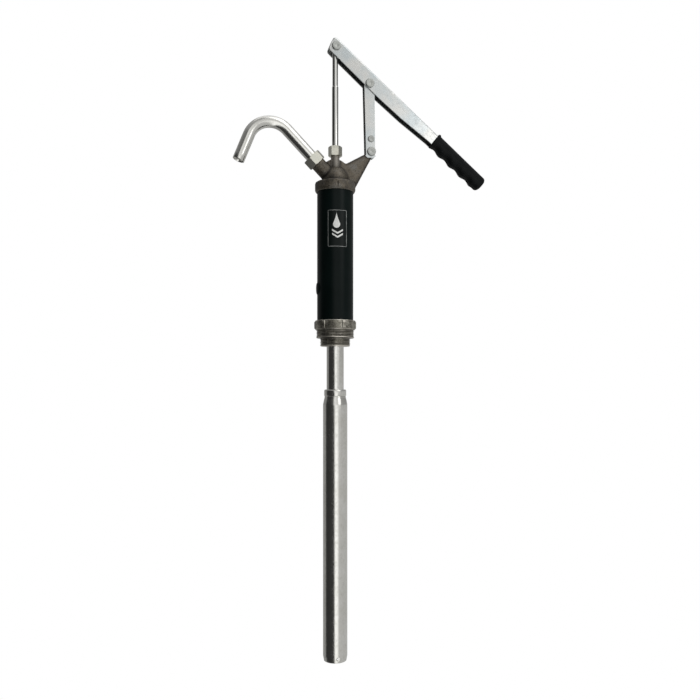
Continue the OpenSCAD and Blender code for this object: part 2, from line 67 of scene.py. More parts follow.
FRONT_TURN = 6.5          # turn of the label and the casting's notch from the front, towards the spout
SPOUT_Z, SPOUT_TILT = 232.6, 45
SPOUT_BEND_START, SPOUT_BEND_R, SPOUT_TURN, SPOUT_END = 108.8, 36.5, 113, 43
SPOUT_R, SPOUT_WALL = 9.25, 1.5
BOSS_R, BOSS_END = 11.5, 42
BARREL_SEAT_R = 28.55     # bore of both castings round the barrel
UNION_AF = 27
UNION_LOW, UNION_LIP, UNION_HIGH = 39.7, 51.5, 55
GLAND_AF, GLAND_TURN, GLAND_SHANK_R, GLAND_HEX_LOW = 19, 15, 6.85, 273.8
LEVER_SLOPE, LEVER_PIN_ALONG, LEVER_PIN_DROP = 39.6, 76.4, 6.5
LEVER_W, LEVER_T, LEVER_TOP = 16.5, 2.0, 10.6
GRIP_START, GRIP_LEN, GRIP_MID = 213, 108, 1.6
LEVER_TAIL, LEVER_TAIL_LOW, LEVER_MOUTH_LOW = GRIP_START + 92, -4.6, -8
LINK_W, LINK_T, LINK_B, LINK_FOOT = 12, 1.8, 16.7, 11.3
LINK_RIVET_AT, RIVET_R = 20, 3
PIN_R = 3.5
SPLIT_BACK = 2.6          # the split pin's hole, behind the pinned piece's face
ROD_R = 5
EYE_NECK_R, EYE_R, EYE_HALF = 4.4, 6, 4
THREAD_PITCH, THREAD_DEPTH = 25.4 / 11, 1.3
TUBE_WALL = 1.25
TUBE_TRAVEL_DOWN = 290    # the sliding tube's way down from rest
FIT = 0.08                # clearance round a pin or the rod


def span(node):
    """Lowest and highest corner of a CAD node, in millimetres."""
    low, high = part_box(node)
    return np.array(low) / MM, np.array(high) / MM


def about_y(origin, degrees):
    """Local frame at origin, turned about Y."""
    return Matrix.Translation(Vector(origin)) @ Matrix.Rotation(math.radians(degrees), 4, "Y")


joint_at = {j["name"]: Vector(j["pos_m"]) / MM for j in frame["joints"] if "pos_m" in j}
arm_pin, lever_pin = joint_at["link_sway"], joint_at["lever_swing"]
pin_low, pin_high = span("rod_pin")
rod_pin = Vector(((pin_low[0] + pin_high[0]) / 2, 0, (pin_low[2] + pin_high[2]) / 2))
link_length = (lever_pin - arm_pin).length
link_tilt = math.degrees(math.atan2(lever_pin.x - arm_pin.x, lever_pin.z - arm_pin.z))

PUMP = Matrix.Identity(4)
SPOUT = about_y((0, 0, SPOUT_Z), -SPOUT_TILT)
LEVER = about_y(rod_pin, LEVER_SLOPE)
LEVER_B = LEVER @ Matrix.Translation((LEVER_PIN_ALONG, 0, -LEVER_PIN_DROP))
LINK = about_y(arm_pin, link_tilt)
# turned forms stand on +Z; this lays them along +Y
ALONG_Y = Matrix.Rotation(math.radians(-90), 4, "X")

# ---------- mesh building ----------


def evenly(count):
    """Angles spread over a full turn."""
    return np.arange(count) * math.tau / count


def denser(count, middles, offsets):
    """Angles spread over a full turn, with more of them at offsets from each of some middles."""
    angles = np.concatenate([evenly(count)] + [middle + offsets for middle in middles])
    return np.unique(np.round(np.mod(angles, math.tau), 5))


def apart(angles, middle):
    """How far angles are from a middle one, within half a turn."""
    return (angles - middle + math.pi) % math.tau - math.pi


def skin(rows, closed=False):
    """Faces between rows of point numbers that run round; a row that repeats one number is a tip.
    A closed form's last row joins its first."""
    pairs = list(zip(rows, rows[1:]))
    if closed:
        pairs.append((rows[-1], rows[0]))
    faces = []
    for low, high in pairs:
        for quad in zip(low, np.roll(low, -1), np.roll(high, -1), high):
            corners = list(dict.fromkeys(int(c) for c in quad))
            if len(corners) > 2:
                faces.append(corners)
    return faces


def lathe(rings, turns=96, closed=True):
    """Turned form through rings of (radius, height). Either may be an array over the turns;
    turns is their number or their angles."""
    angles = evenly(turns) if np.isscalar(turns) else turns
    points, rows, total = [], [], 0
    for radius, height in rings:
        ring = np.column_stack(np.broadcast_arrays(radius * np.cos(angles), radius * np.sin(angles), height))
        if np.isscalar(radius) and radius == 0:
            ring = ring[:1]
            rows.append(np.full(len(angles), total))
        else:
            rows.append(np.arange(total, total + len(angles)))
        points.append(ring)
        total += len(ring)
    return np.vstack(points), skin(rows, closed)


def bar(radius, half, turns):
    """Round bar along z."""
    return lathe([(0, -half), (radius, -half), (radius, half), (0, half)], turns, closed=False)


def beside(radius, height, *offsets):
    """Rings at offsets (out, up) from one ring."""
    return [(radius + out, height + up) for out, up in offsets]


def rounded(corners, steps=5):
    """Closed outline through corners (x, y, radius), each rounded by its radius."""
    outline = []
    for i, (x, y, radius) in enumerate(corners):
        here = Vector((x, y))
        if radius == 0:
            outline.append((x, y))
            continue
        back = (Vector(corners[i - 1][:2]) - here).normalized()
        ahead = (Vector(corners[(i + 1) % len(corners)][:2]) - here).normalized()
        half = back.angle(ahead) / 2
        reach = radius / math.tan(half)
        centre = here + (back + ahead).normalized() * radius / math.sin(half)
        start = here + back * reach - centre
        sweep = start.angle_signed(here + ahead * reach - centre)
        for k in range(steps + 1):
            arm = start.copy()
            arm.rotate(Matrix.Rotation(-sweep * k / steps, 2))
            outline.append(tuple(centre + arm))
    return outline


def arc(cx, cy, radius, start, end, steps):
    """Points of an arc, in degrees."""
    angles = [math.radians(start + (end - start) * i / steps) for i in range(steps + 1)]
    return [(cx + radius * math.cos(a), cy + radius * math.sin(a)) for a in angles]


def extruded(outline, half):
    """Plate with an (x, z) outline, from y = -half to y = half."""
    count = len(outline)
    points = [(x, -half, z) for x, z in outline] + [(x, half, z) for x, z in outline]
    faces = [list(range(count)), list(range(2 * count - 1, count - 1, -1))]
    faces += [[i, (i + 1) % count, count + (i + 1) % count, count + i] for i in range(count)]
    return np.array(points, float), faces


def boxed(low, high):
    """Block between two corners."""
    (x0, y0, z0), (x1, y1, z1) = low, high
    points, faces = extruded([(x0, z0), (x1, z0), (x1, z1), (x0, z1)], (y1 - y0) / 2)
    return points + np.array([0, (y0 + y1) / 2, 0]), faces


def laid(shape, x=0.0, z=0.0):
    """A shape that stands along z, laid along y through (x, z)."""
    points, faces = shape
    return points[:, [0, 2, 1]] * np.array([1, 1, -1]) + np.array([x, 0, z]), faces


def tube_along(points, radius, segments=12):
    """Round bar along a line of points, with rounded ends."""
    path = [Vector(p) for p in points]
    last = len(path) - 1
    tangents = [(path[min(i + 1, last)] - path[max(i - 1, 0)]).normalized() for i in range(last + 1)]
    normal = tangents[0].orthogonal().normalized()
    verts, rows = [path[0] - tangents[0] * radius * 0.7], [[0] * segments]
    stations = [(0, 0.75, -0.45)] + [(i, 1, 0) for i in range(last + 1)] + [(last, 0.75, 0.45)]
    for i, share, ahead in stations:
        normal = (normal - tangents[i] * normal.dot(tangents[i])).normalized()
        side = tangents[i].cross(normal)
        middle = path[i] + tangents[i] * radius * ahead
        rows.append(range(len(verts), len(verts) + segments))
        for a in evenly(segments):
            verts.append(middle + (normal * math.cos(a) + side * math.sin(a)) * radius * share)
    rows.append([len(verts)] * segments)
    verts.append(path[-1] + tangents[-1] * radius * 0.7)
    return np.array([tuple(v) for v in verts]), skin(rows)


def added(name, data):
    """New object in the scene."""
    obj = bpy.data.objects.new(name, data)
    bpy.context.scene.collection.objects.link(obj)
    return obj


def solid(name, shape, place=PUMP):
    """Mesh object of a shape in millimetres, placed in the part's frame."""
    points, faces = shape
    turn = np.array(place.to_3x3())
    moved = (np.asarray(points) @ turn.T + np.array(place.translation)) * MM
    mesh = bpy.data.meshes.new(name)
    mesh.from_pydata(moved.tolist(), [], faces)
    form = bmesh.new()
    form.from_mesh(mesh)
    bmesh.ops.recalc_face_normals(form, faces=form.faces)
    form.to_mesh(mesh)
    form.free()
    return added(name, mesh)


def applied(obj):
    """Turns the object's modifiers into its mesh."""
    bpy.context.view_layer.update()
    done = bpy.data.meshes.new_from_object(obj.evaluated_get(bpy.context.evaluated_depsgraph_get()))
    obj.modifiers.clear()
    obj.data = done
    return obj


def cut(obj, shape, place=PUMP):
    """Takes a shape away from the object."""
    tool = solid("tool", shape, place)
    boolean = obj.modifiers.new("cut", "BOOLEAN")
    boolean.operation = "DIFFERENCE"
    boolean.object = tool
    boolean.solver = "EXACT"
    applied(obj)
    bpy.data.objects.remove(tool)


def bevelled(obj, width, limit):
    """Rounds the edges that turn by more than limit degrees."""
    bevel = obj.modifiers.new("bevel", "BEVEL")
    bevel.width = width * MM
    bevel.segments = 2
    bevel.limit_method = "ANGLE"
    bevel.angle_limit = math.radians(limit)
    bevel.use_clamp_overlap = True
    return applied(obj)


def round_edges(obj, width, segments, chosen):
    """Rounds the edges for which chosen(one end, other end), in millimetres, is true."""
    form = bmesh.new()
    form.from_mesh(obj.data)
    edges = [e for e in form.edges if chosen(e.verts[0].co / MM, e.verts[1].co / MM)]
    bmesh.ops.bevel(form, geom=edges, offset=width * MM, segments=segments, profile=0.5, affect="EDGES")
    form.to_mesh(obj.data)
    form.free()


def roughened(obj, height, size, keep):
    """Moves the vertices by a smooth noise, as on a sand casting; keep(point in millimetres) leaves some."""
    normals = [v.normal.copy() for v in obj.data.vertices]
    for vertex, normal in zip(obj.data.vertices, normals):
        point = vertex.co / MM
        if not keep(point):
            wave = noise.noise(point / size) + 0.5 * noise.noise(point / size * 2.7)
            vertex.co += normal * wave * height * MM


def dress(obj, body, slot, *nodes, sharp=32, flats=False, look=None):
    """Gives a finished shape its shading, body and material, and hides the CAD nodes it stands for.
    Its material is the slot's unless look names another; flats keeps broad faces flat."""
    obj.data.materials.clear()
    obj.data.materials.append(materials[look or slot])
    obj.data.shade_smooth()
    obj.data.set_sharp_from_angle(angle=math.radians(sharp))
    if flats:
        weighted = obj.modifiers.new("flats", "WEIGHTED_NORMAL")
        weighted.weight = 100
        weighted.keep_sharp = True
        applied(obj)
    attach(obj, body)
    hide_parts(*nodes)


# ---------- castings: a distance field and the surface where it is zero ----------


def outline_distance(px, py, outline):
    """Distance from points to an outline, negative inside."""
    nearest, inside = np.inf, False
    for (ax, ay), (bx, by) in zip(outline, outline[1:] + outline[:1]):
        ex, ey = bx - ax, by - ay
        wx, wy = px - ax, py - ay
        share = np.clip((wx * ex + wy * ey) / (ex * ex + ey * ey), 0, 1)
        nearest = np.minimum(nearest, (wx - ex * share) ** 2 + (wy - ey * share) ** 2)
        if ay != by:
            inside = inside ^ (((ay > py) != (by > py)) & (px < ex * wy / ey + ax))
    return np.where(inside, -1, 1) * np.sqrt(nearest)


def bar_distance(radial, along, radius, start, end):
    """Distance to a round bar."""
    return np.maximum(radial - radius, np.maximum(start - along, along - end))


def blended(a, b, fillet):
    """Union of two fields with a fillet between them."""
    share = np.clip(0.5 + 0.5 * (b - a) / fillet, 0, 1)
    return b * (1 - share) + a * share - fillet * share * (1 - share)


def softened(field):
    """Rounds a sampled field's edges by averaging neighbours."""
    for axis in range(3):
        count = field.shape[axis]
        wide = np.pad(field, [(1, 1) if a == axis else (0, 0) for a in range(3)], mode="edge")
        field = (wide.take(range(count), axis) + 2 * field + wide.take(range(2, count + 2), axis)) / 4
    return field


def surface_of(field, origin, step):
    """Quads of the surface where a sampled field changes sign."""
    inside = field < 0
    corners = [np.array((i, j, k)) for i in (0, 1) for j in (0, 1) for k in (0, 1)]
    cells = np.array(field.shape) - 1
    marks = [inside[i:i + cells[0], j:j + cells[1], k:k + cells[2]] for i, j, k in corners]
    active = np.logical_or.reduce(marks) & ~np.logical_and.reduce(marks)
    index = np.argwhere(active)
    values = [field[tuple((index + corner).T)] for corner in corners]
    place, hits = np.zeros((len(index), 3)), np.zeros((len(index), 1))
    for a, one in enumerate(corners):
        for b, other in enumerate(corners):
            if b > a and np.abs(one - other).sum() == 1:
                crossed = (values[a] < 0) != (values[b] < 0)
                share = (values[a] / np.where(crossed, values[a] - values[b], 1))[:, None]
                place += np.where(crossed[:, None], one + share * (other - one), 0)
                hits += crossed[:, None]
    number = np.full(cells, -1)
    number[active] = np.arange(len(index))
    faces = []
    for axis in range(3):
        u, v = np.delete(np.eye(3, dtype=int), axis, 0)
        at = np.argwhere(np.diff(inside, axis=axis))
        sideways = at[:, (u + v) > 0]
        at = at[(sideways > 0).all(1) & (sideways < cells[(u + v) > 0]).all(1)]
        around = [number[tuple(near.T)] for near in (at - u - v, at - v, at, at - u)]
        faces += np.stack(around, 1).tolist()
    return np.array(origin) + step * (index + place / hits), faces


def cast(field_at, low, high, step):
    """Shape of field_at(x, y, z), which gives its outside, to have rounded edges, and its hollows."""
    axes = [np.arange(low[a], high[a] + step, step) for a in range(3)]
    outside, hollows = field_at(axes[0][:, None, None], axes[1][None, :, None], axes[2][None, None, :])
    field = softened(np.broadcast_to(outside, tuple(len(a) for a in axes)))
    for hollow in hollows:
        field = np.maximum(field, -hollow)
    return surface_of(field, low, step)


# ---------- materials ----------


class Nodes:
    """Small helper that builds a node tree."""

    def __init__(self, tree):
        self.tree = tree

    def node(self, kind, **settings):
        made = self.tree.nodes.new(kind)
        for key, value in settings.items():
            setattr(made, key, value)
        return made

    def feed(self, socket, value):
        """Gives a socket another's value, a colour or a number."""
        if isinstance(value, bpy.types.NodeSocket):
            self.tree.links.new(value, socket)
        elif hasattr(value, "__len__"):
            socket.default_value = (*value, 1)
        else:
            socket.default_value = value

    def ramp(self, value, *stops):
        """Colours or greys along a value."""
        made = self.node("ShaderNodeValToRGB")
        elements = made.color_ramp.elements
        while len(elements) < len(stops):
            elements.new(0.5)
        for element, (at, colour) in zip(elements, stops):
            element.position = at
            element.color = (*colour, 1) if hasattr(colour, "__len__") else (colour, colour, colour, 1)
        self.feed(made.inputs["Fac"], value)
        return made.outputs["Color"]

    def ranged(self, value, low, high, to_low=0.0, to_high=1.0):
        """Goes from one number to another as a value goes from low to high."""
        made = self.node("ShaderNodeMapRange")
        ends = {"Value": value, "From Min": low, "From Max": high, "To Min": to_low, "To Max": to_high}
        for key, number in ends.items():
            self.feed(made.inputs[key], number)
        return made.outputs["Result"]

    def mix(self, share, a, b):
        """Mix of two colours by a value or a number."""
        made = self.node("ShaderNodeMix", data_type="RGBA")
        for number, value in ((0, share), (6, a), (7, b)):
            self.feed(made.inputs[number], value)
        return made.outputs[2]

    def math(self, kind, a, b):
        made = self.node("ShaderNodeMath", operation=kind)
        self.feed(made.inputs[0], a)
        self.feed(made.inputs[1], b)
        return made.outputs[0]


class Surface(Nodes):
    """A procedural material."""

    def __init__(self, name, **settings):
        self.material = bpy.data.materials.new(name)
        self.material.use_nodes = True
        super().__init__(self.material.node_tree)
        self.shader = self.tree.nodes["Principled BSDF"]
        for key, value in settings.items():
            self.shader.inputs[key.replace("_", " ")].default_value = value
        self.place = self.node("ShaderNodeTexCoord").outputs["Object"]
        self.normal = None

    def noise(self, size, detail=3, rough=0.55, stretch=(1, 1, 1), shift=0.0):
        """Noise whose features are about size millimetres; stretch makes them longer along an axis."""
        mapping = self.node("ShaderNodeMapping")
        mapping.inputs["Scale"].default_value = [1 / s for s in stretch]
        mapping.inputs["Location"].default_value = (shift, shift * 0.7, -shift)
        self.feed(mapping.inputs["Vector"], self.place)
        made = self.node("ShaderNodeTexNoise")
        self.feed(made.inputs["Vector"], mapping.outputs["Vector"])
        for key, value in (("Scale", 1 / (size * MM)), ("Detail", detail), ("Roughness", rough)):
            made.inputs[key].default_value = value
        return made.outputs["Fac"]

    def edges(self, low=0.515, high=0.56):
        """1 on outward edges of a dense mesh, 0 elsewhere."""
        return self.ramp(self.node("ShaderNodeNewGeometry").outputs["Pointiness"], (low, 0.0), (high, 1.0))

    def creases(self):
        """1 in creases of a dense mesh, 0 elsewhere."""
        return self.ramp(self.node("ShaderNodeNewGeometry").outputs["Pointiness"], (0.44, 1.0), (0.49, 0.0))

    def colour(self, socket):
        self.feed(self.shader.inputs["Base Color"], socket)

    def roughness(self, value, low, high):
        """Roughness between low and high, over the middle of a noise's range."""
        self.feed(self.shader.inputs["Roughness"], self.ranged(value, 0.3, 0.7, low, high))

    def bump(self, height, depth, strength=1.0):
        """Relief of depth millimetres, added to any before it."""
        made = self.node("ShaderNodeBump")
        made.inputs["Distance"].default_value = depth * MM
        made.inputs["Strength"].default_value = strength
        self.feed(made.inputs["Height"], height)
        if self.normal:
            self.feed(made.inputs["Normal"], self.normal)
        self.normal = made.outputs["Normal"]
        self.feed(self.shader.inputs["Normal"], self.normal)


def plain_finish(name, dark, light, metallic, rough, patch=12, grain=1.2, depth=0.03, specular=0.5):
    """Two-tone finish with a fine grain."""
    made = Surface(name, Metallic=metallic, Specular_IOR_Level=specular)
    made.colour(made.ramp(made.noise(patch), (0.35, dark), (0.65, light)))
    fine = made.noise(grain, detail=5, shift=0.3)
    made.roughness(fine, *rough)
    made.bump(fine, depth)
    return made.material


def cast_finish(name, dark, warm, light, edge, pits, metallic=0.75, rough=(0.40, 0.62)):
    """Sand casting: mottled skin, grain, small pits, rubbed edges, and painted shade that darkens its creases.
    """
    made = Surface(name, Metallic=metallic)
    broad = made.noise(14, detail=5, rough=0.6)
    grain = made.noise(1.5, detail=6, rough=0.65, shift=0.2)
    skin_colour = made.ramp(broad, (0.3, dark), (0.5, warm), (0.68, light))
    skin_colour = made.mix(made.ramp(grain, (0.36, 1.0), (0.5, 0.0)), skin_colour, pits)
    # painted shade: the per-vertex amount and the mesh's creases darken the skin towards near-black, where
    # shade falls
    painted_shade_mask = made.node("ShaderNodeAttribute", attribute_name="painted_shade").outputs["Fac"]
    painted_shade_mask = made.math("MAXIMUM", painted_shade_mask, made.creases())
    skin_colour = made.mix(made.math("MULTIPLY", painted_shade_mask, 0.85), skin_colour, (0.012, 0.010, 0.009))
    made.colour(made.mix(made.math("MULTIPLY", made.edges(), 0.75), skin_colour, edge))
    made.roughness(grain, *rough)
    made.bump(broad, 0.25, 0.5)
    made.bump(grain, 0.16)
    return made.material


def plate_finish(name, light, tint, shade, rough, streak=(1, 1, 1), haze=0.35):
    """Bright plate: a clear metal with faint tinted patches, hazy spots and fine drawn lines."""
    made = Surface(name, Metallic=1.0)
    broad = made.noise(26, detail=4, shift=0.1)
    small = made.noise(5, detail=6, rough=0.62, shift=0.5)
    lines = made.noise(0.5, detail=4, stretch=streak, shift=0.9)
    tone = made.ramp(broad, (0.36, light), (0.64, tint))
    hazy = made.math("MULTIPLY", made.ramp(small, (0.5, 0.0), (0.72, 1.0)), haze)
    drawn = made.math("MULTIPLY", made.ramp(lines, (0.55, 0.0), (0.75, 1.0)), 0.18)
    made.colour(made.mix(drawn, made.mix(hazy, tone, shade), shade))
    spread = made.math("ADD", made.math("MULTIPLY", small, 0.7), made.math("MULTIPLY", lines, 0.3))
    made.roughness(spread, *rough)
    made.bump(broad, 0.06, 0.5)
    made.bump(lines, 0.012, 0.6)
    return made.material


def enamel_finish(name):
    """Glossy black stove enamel with a slight orange peel, dust and rubbed spots."""
    made = Surface(name, Specular_IOR_Level=0.09)
    broad = made.noise(40, detail=3)
    peel = made.noise(1.6, detail=2, shift=0.4)
    dust = made.noise(0.5, detail=6, rough=0.7, shift=0.8)
    paint = made.ramp(broad, (0.35, (0.0016, 0.0044, 0.0041)), (0.65, (0.0030, 0.0066, 0.0062)))
    made.colour(made.mix(made.ramp(dust, (0.60, 0.0), (0.78, 0.4)), paint, (0.03, 0.032, 0.031)))
    made.roughness(dust, 0.22, 0.42)
    made.bump(peel, 0.02, 0.5)
    made.bump(broad, 0.1, 0.2)
    return made.material


def rubber_finish(name):
    """Black moulded grip rubber: matt skin, fine grain, rubbed crests."""
    made = Surface(name, Specular_IOR_Level=0.08)
    broad = made.noise(12, detail=4)
    grain = made.noise(0.7, detail=5, shift=0.6)
    black = made.ramp(broad, (0.35, (0.0030, 0.0038, 0.0042)), (0.65, (0.0060, 0.0070, 0.0074)))
    made.colour(made.mix(made.math("MULTIPLY", made.edges(0.505, 0.54), 0.4), black, (0.018, 0.019, 0.020)))
    made.roughness(grain, 0.42, 0.62)
    made.bump(grain, 0.05, 0.7)
    return made.material


STEEL = (0.66, 0.655, 0.63), (0.60, 0.595, 0.56), (0.40, 0.385, 0.35), (0.13, 0.30)
# finishes by name: the record's material slots, and the label's film and lines; values in the order of
# each finish's arguments
LOOKS = {
    cast_finish: {
        "cast_head": ((0.062, 0.058, 0.052), (0.130, 0.112, 0.086), (0.150, 0.141, 0.126), (0.30, 0.28, 0.25),
                      (0.030, 0.026, 0.022)),
        "cast_base": ((0.080, 0.072, 0.060), (0.22, 0.21, 0.175), (0.55, 0.53, 0.46), (0.80, 0.76, 0.68),
                      (0.026, 0.022, 0.018), 0.9, (0.28, 0.5)),
    },
    plate_finish: {
        "tube_plate": (*STEEL, (1, 1, 60)),
        "spout_plate": (*STEEL, (1, 1, 1), 0.25),
        "nut_zinc": ((0.62, 0.605, 0.53), (0.56, 0.56, 0.50), (0.34, 0.33, 0.29), (0.26, 0.42)),
        "rod_chrome": ((0.66, 0.66, 0.64), (0.60, 0.60, 0.58), (0.42, 0.41, 0.39), (0.05, 0.14), (1, 1, 40),
                       0.15),
        "lever_zinc": ((0.52, 0.52, 0.505), (0.44, 0.475, 0.485), (0.28, 0.285, 0.28), (0.17, 0.36),
                       (30, 1, 1)),
        "pin_zinc": ((0.36, 0.37, 0.35), (0.32, 0.33, 0.32), (0.18, 0.18, 0.17), (0.36, 0.54)),
    },
    plain_finish: {
        "label_print": ((0.66, 0.67, 0.65), (0.82, 0.83, 0.81), 0, (0.3, 0.5), 6, 0.8, 0.01),
        "label_line": ((0.16, 0.17, 0.17), (0.42, 0.43, 0.42), 0, (0.3, 0.5), 9, 0.8, 0.01),
        "label_film": ((0.003, 0.006, 0.0056), (0.005, 0.008, 0.0074), 0, (0.25, 0.4), 20, 0.8, 0.01, 0.12),
        "gasket_rubber": (0.012, 0.03, 0, (0.55, 0.8)),
        "fibre_washer": ((0.11, 0.03, 0.015), (0.17, 0.05, 0.03), 0, (0.6, 0.85)),
        "valve_brass": ((0.52, 0.34, 0.12), (0.66, 0.46, 0.19), 1, (0.2, 0.42)),
        "cup_leather": ((0.06, 0.032, 0.018), (0.12, 0.065, 0.035), 0, (0.55, 0.8)),
        "valve_rubber": ((0.01, 0.01, 0.012), (0.024, 0.024, 0.026), 0, (0.45, 0.7)),
        "packing_cord": ((0.07, 0.06, 0.045), (0.14, 0.12, 0.09), 0, (0.6, 0.9), 4, 0.6),
        "strainer_steel": ((0.42, 0.41, 0.39), (0.55, 0.54, 0.51), 1, (0.25, 0.45)),
        "bush_nylon": ((0.60, 0.57, 0.50), (0.70, 0.67, 0.60), 0, (0.35, 0.55)),
    },
    enamel_finish: {"black_enamel": ()},
    rubber_finish: {"grip_rubber": ()},
}
materials = {name: finish(name, *look) for finish, looks in LOOKS.items() for name, look in looks.items()}

# ---------- head casting ----------

SKIRT_TOP = 229.3
SHOULDER_R = 3
DOME_R, DOME_H, DOME_Z, DOME_TOP = 21, 25, 233, 256.1
ARM_HALF = 3.9
ARM_LUG_R = 6.2
ROUND_WEB_Z, ROUND_WEB_R = 247.7, 22
PARTING_RIDGE = 0.3
NOTCH_R = 0.9


def from_spout_axis(x, y, z):
    """Distance from the spout's axis, and the way along it."""
    return np.hypot((z - SPOUT_Z + x) * math.sqrt(0.5), y), (z - SPOUT_Z - x) * math.sqrt(0.5)


def head_forms(x, y, z):
    """Fields of the head's skirt, dome, spout boss and arm, and of the arm's outline from the side."""
    low, high = span("pump_head")
    radial = np.hypot(x, y)
    skirt_r = -low[1]
    skirt = outline_distance(radial, z, [
        (-30, low[2]), (skirt_r - 1.6, low[2]), (skirt_r, low[2] + 3)
    ] + arc(skirt_r - SHOULDER_R, SKIRT_TOP, SHOULDER_R, 0, 90, 6) + [(-30, SKIRT_TOP + SHOULDER_R)])
    rise = z - DOME_Z
    share = np.hypot(radial / DOME_R, rise / DOME_H)
    slope = np.hypot(radial / DOME_R ** 2, rise / DOME_H ** 2)
    dome = np.maximum(share * (share - 1) / np.maximum(slope, 1e-3), z - DOME_TOP)
    boss = bar_distance(*from_spout_axis(x, y, z), BOSS_R, 0, BOSS_END)
    lug = np.hypot(x - arm_pin.x, z - arm_pin.z) - ARM_LUG_R
    web = outline_distance(x, z, [
        (14, 238), (32.9, 226.6), (57.2, 271.9), (arm_pin.x + 5, arm_pin.z - 3.6), (arm_pin.x, arm_pin.z),
        (arm_pin.x - 3, arm_pin.z + 5.4), (48.9, 281.1), (16.8, 263), (12, 262)
    ])
    side = blended(blended(lug, web, 1.5), np.hypot(x, z - ROUND_WEB_Z) - ROUND_WEB_R, 3)
    # the arm's faces draw in slightly towards its edges, as the mould's draft leaves them
    arm = np.maximum(side, np.abs(y) - (ARM_HALF - 0.6) - 0.05 * np.clip(-side, 0, 12))
    return skirt, dome, boss, arm, side


def head_field(x, y, z):
    """Field of the head's outside, and those of its hollows."""
    skirt, dome, boss, arm, _ = head_forms(x, y, z)
    outside = blended(blended(blended(skirt, dome, 0.7), boss, 1.2), arm, 0.8)
    outside = outside - PARTING_RIDGE * np.exp(-(y / 0.8) ** 2)
    radial = np.hypot(x, y)
    notch_at = -span("pump_head")[0][1]
    notch_turn = math.radians(-90 - FRONT_TURN)
    notch = np.hypot(x - notch_at * math.cos(notch_turn), y - notch_at * math.sin(notch_turn)) - NOTCH_R
    chamber = [(-30, 227), (24, 227), (24, 228), (17, 235.5), (16, 240), (9, 243), (-30, 243)]
    return outside, [
        bar_distance(radial, z, BARREL_SEAT_R, 200, 228),
        outline_distance(radial, z, chamber),
        bar_distance(radial, z, ROD_R + 0.15, 240, 280),
        bar_distance(radial, z, GLAND_SHANK_R + 0.05, 245, 280),
        bar_distance(*from_spout_axis(x, y, z), 7.4, 0, 50),
        np.maximum(notch, z - 227.5),
        np.hypot(x - arm_pin.x, z - arm_pin.z) - PIN_R - FIT,
    ]


def head_painted_shade(points):
    """Painted shade on the head, 0 to 1: darkening in the creases where two forms meet, along the arm's rim,
    at the dome's foot and round the gland's neck.
    """
    x, y, z = points.T
    *forms, side = head_forms(x, y, z)
    gaps = np.sort(np.abs(np.array(forms)), axis=0)
    # every term is painted shade: the creases, the arm's rim, the dome's foot and the ring round the gland's
    # neck
    crease = np.exp(-(gaps[1] / 2.6) ** 2)
    rim = np.exp(-(np.maximum(side + 0.6, 0) / 1.2) ** 2 - (np.minimum(side + 0.6, 0) / 2.6) ** 2)
    rim = rim * np.clip((x - 12) / 10, 0, 1)
    foot = np.clip((239 - z) / 6, 0, 1) * (z > SKIRT_TOP + SHOULDER_R - 0.5) * (np.hypot(x, y) > 14)
    neck = np.clip(1.3 - (np.hypot(x, y) - GLAND_SHANK_R) / 3.5, 0, 1) * np.clip((z - 251) / 6, 0, 1)
    return np.clip(np.max((crease, rim, foot, neck), axis=0), 0, 1)


def mark_painted_shade(obj, amounts):
    """Writes the painted shade on each vertex, which the castings' finish reads."""
    obj.data.attributes.new("painted_shade", "FLOAT", "POINT").data.foreach_set("value", amounts)


def pump_head():
    low, high = span("pump_head")
    shape = cast(head_field, low - 2.1, high + 2.1, 0.7)
    casting = solid("head_casting", shape)
    # painted shade on the head's creases, arm rim, dome foot and neck
    mark_painted_shade(casting, head_painted_shade(shape[0]))
    roughened(casting, 0.09, 4.5, keep=lambda p: p.z < SKIRT_TOP and math.hypot(p.x, p.y) < 29)
    dress(casting, "pump_body", "cast_head", "pump_head", sharp=50)


# ---------- barrel and its label ----------


def barrel():
    """Enamelled barrel with rolled edges and a low round boss on the spout side."""
    low, high = span("barrel")
    outer, wall, boss_r, boss_z = high[0], 2.0, 9.5, 64.6
    boss_h = -low[0] - outer
    near = math.asin(boss_r * 1.25 / outer)
    rest = np.linspace(-math.pi + near, math.pi - near, 146)[1:-1]
    angles = np.concatenate((rest, math.pi + np.linspace(-near, near, 49)))
    dense_z = np.arange(boss_z - boss_r * 1.25, boss_z + boss_r * 1.25, 0.5)
    levels = np.concatenate((np.arange(low[2] + 1.5, dense_z[0] - 2, 6), dense_z,
                             np.arange(dense_z[-1] + 3, high[2] - 1.5, 6)))
    rings = beside(outer, low[2], (-wall, 0), (-0.6, 0), (0, 0.6))
    for level in levels:
        off = np.hypot((angles - math.pi) * outer, level - boss_z) / boss_r
        swell = np.clip(1 - off ** 2, 0, 1) ** 0.8
        step = 1 / (1 + np.exp((off - 1) * 18))
        rings.append((outer + boss_h * 0.5 * (swell + step) * (off < 1.24), level))
    rings += beside(outer, high[2], (0, -0.6), (-0.6, 0), (-wall, 0))
    dress(solid("barrel_tube", lathe(rings, angles)), "pump_body", "black_enamel", "barrel", sharp=40)


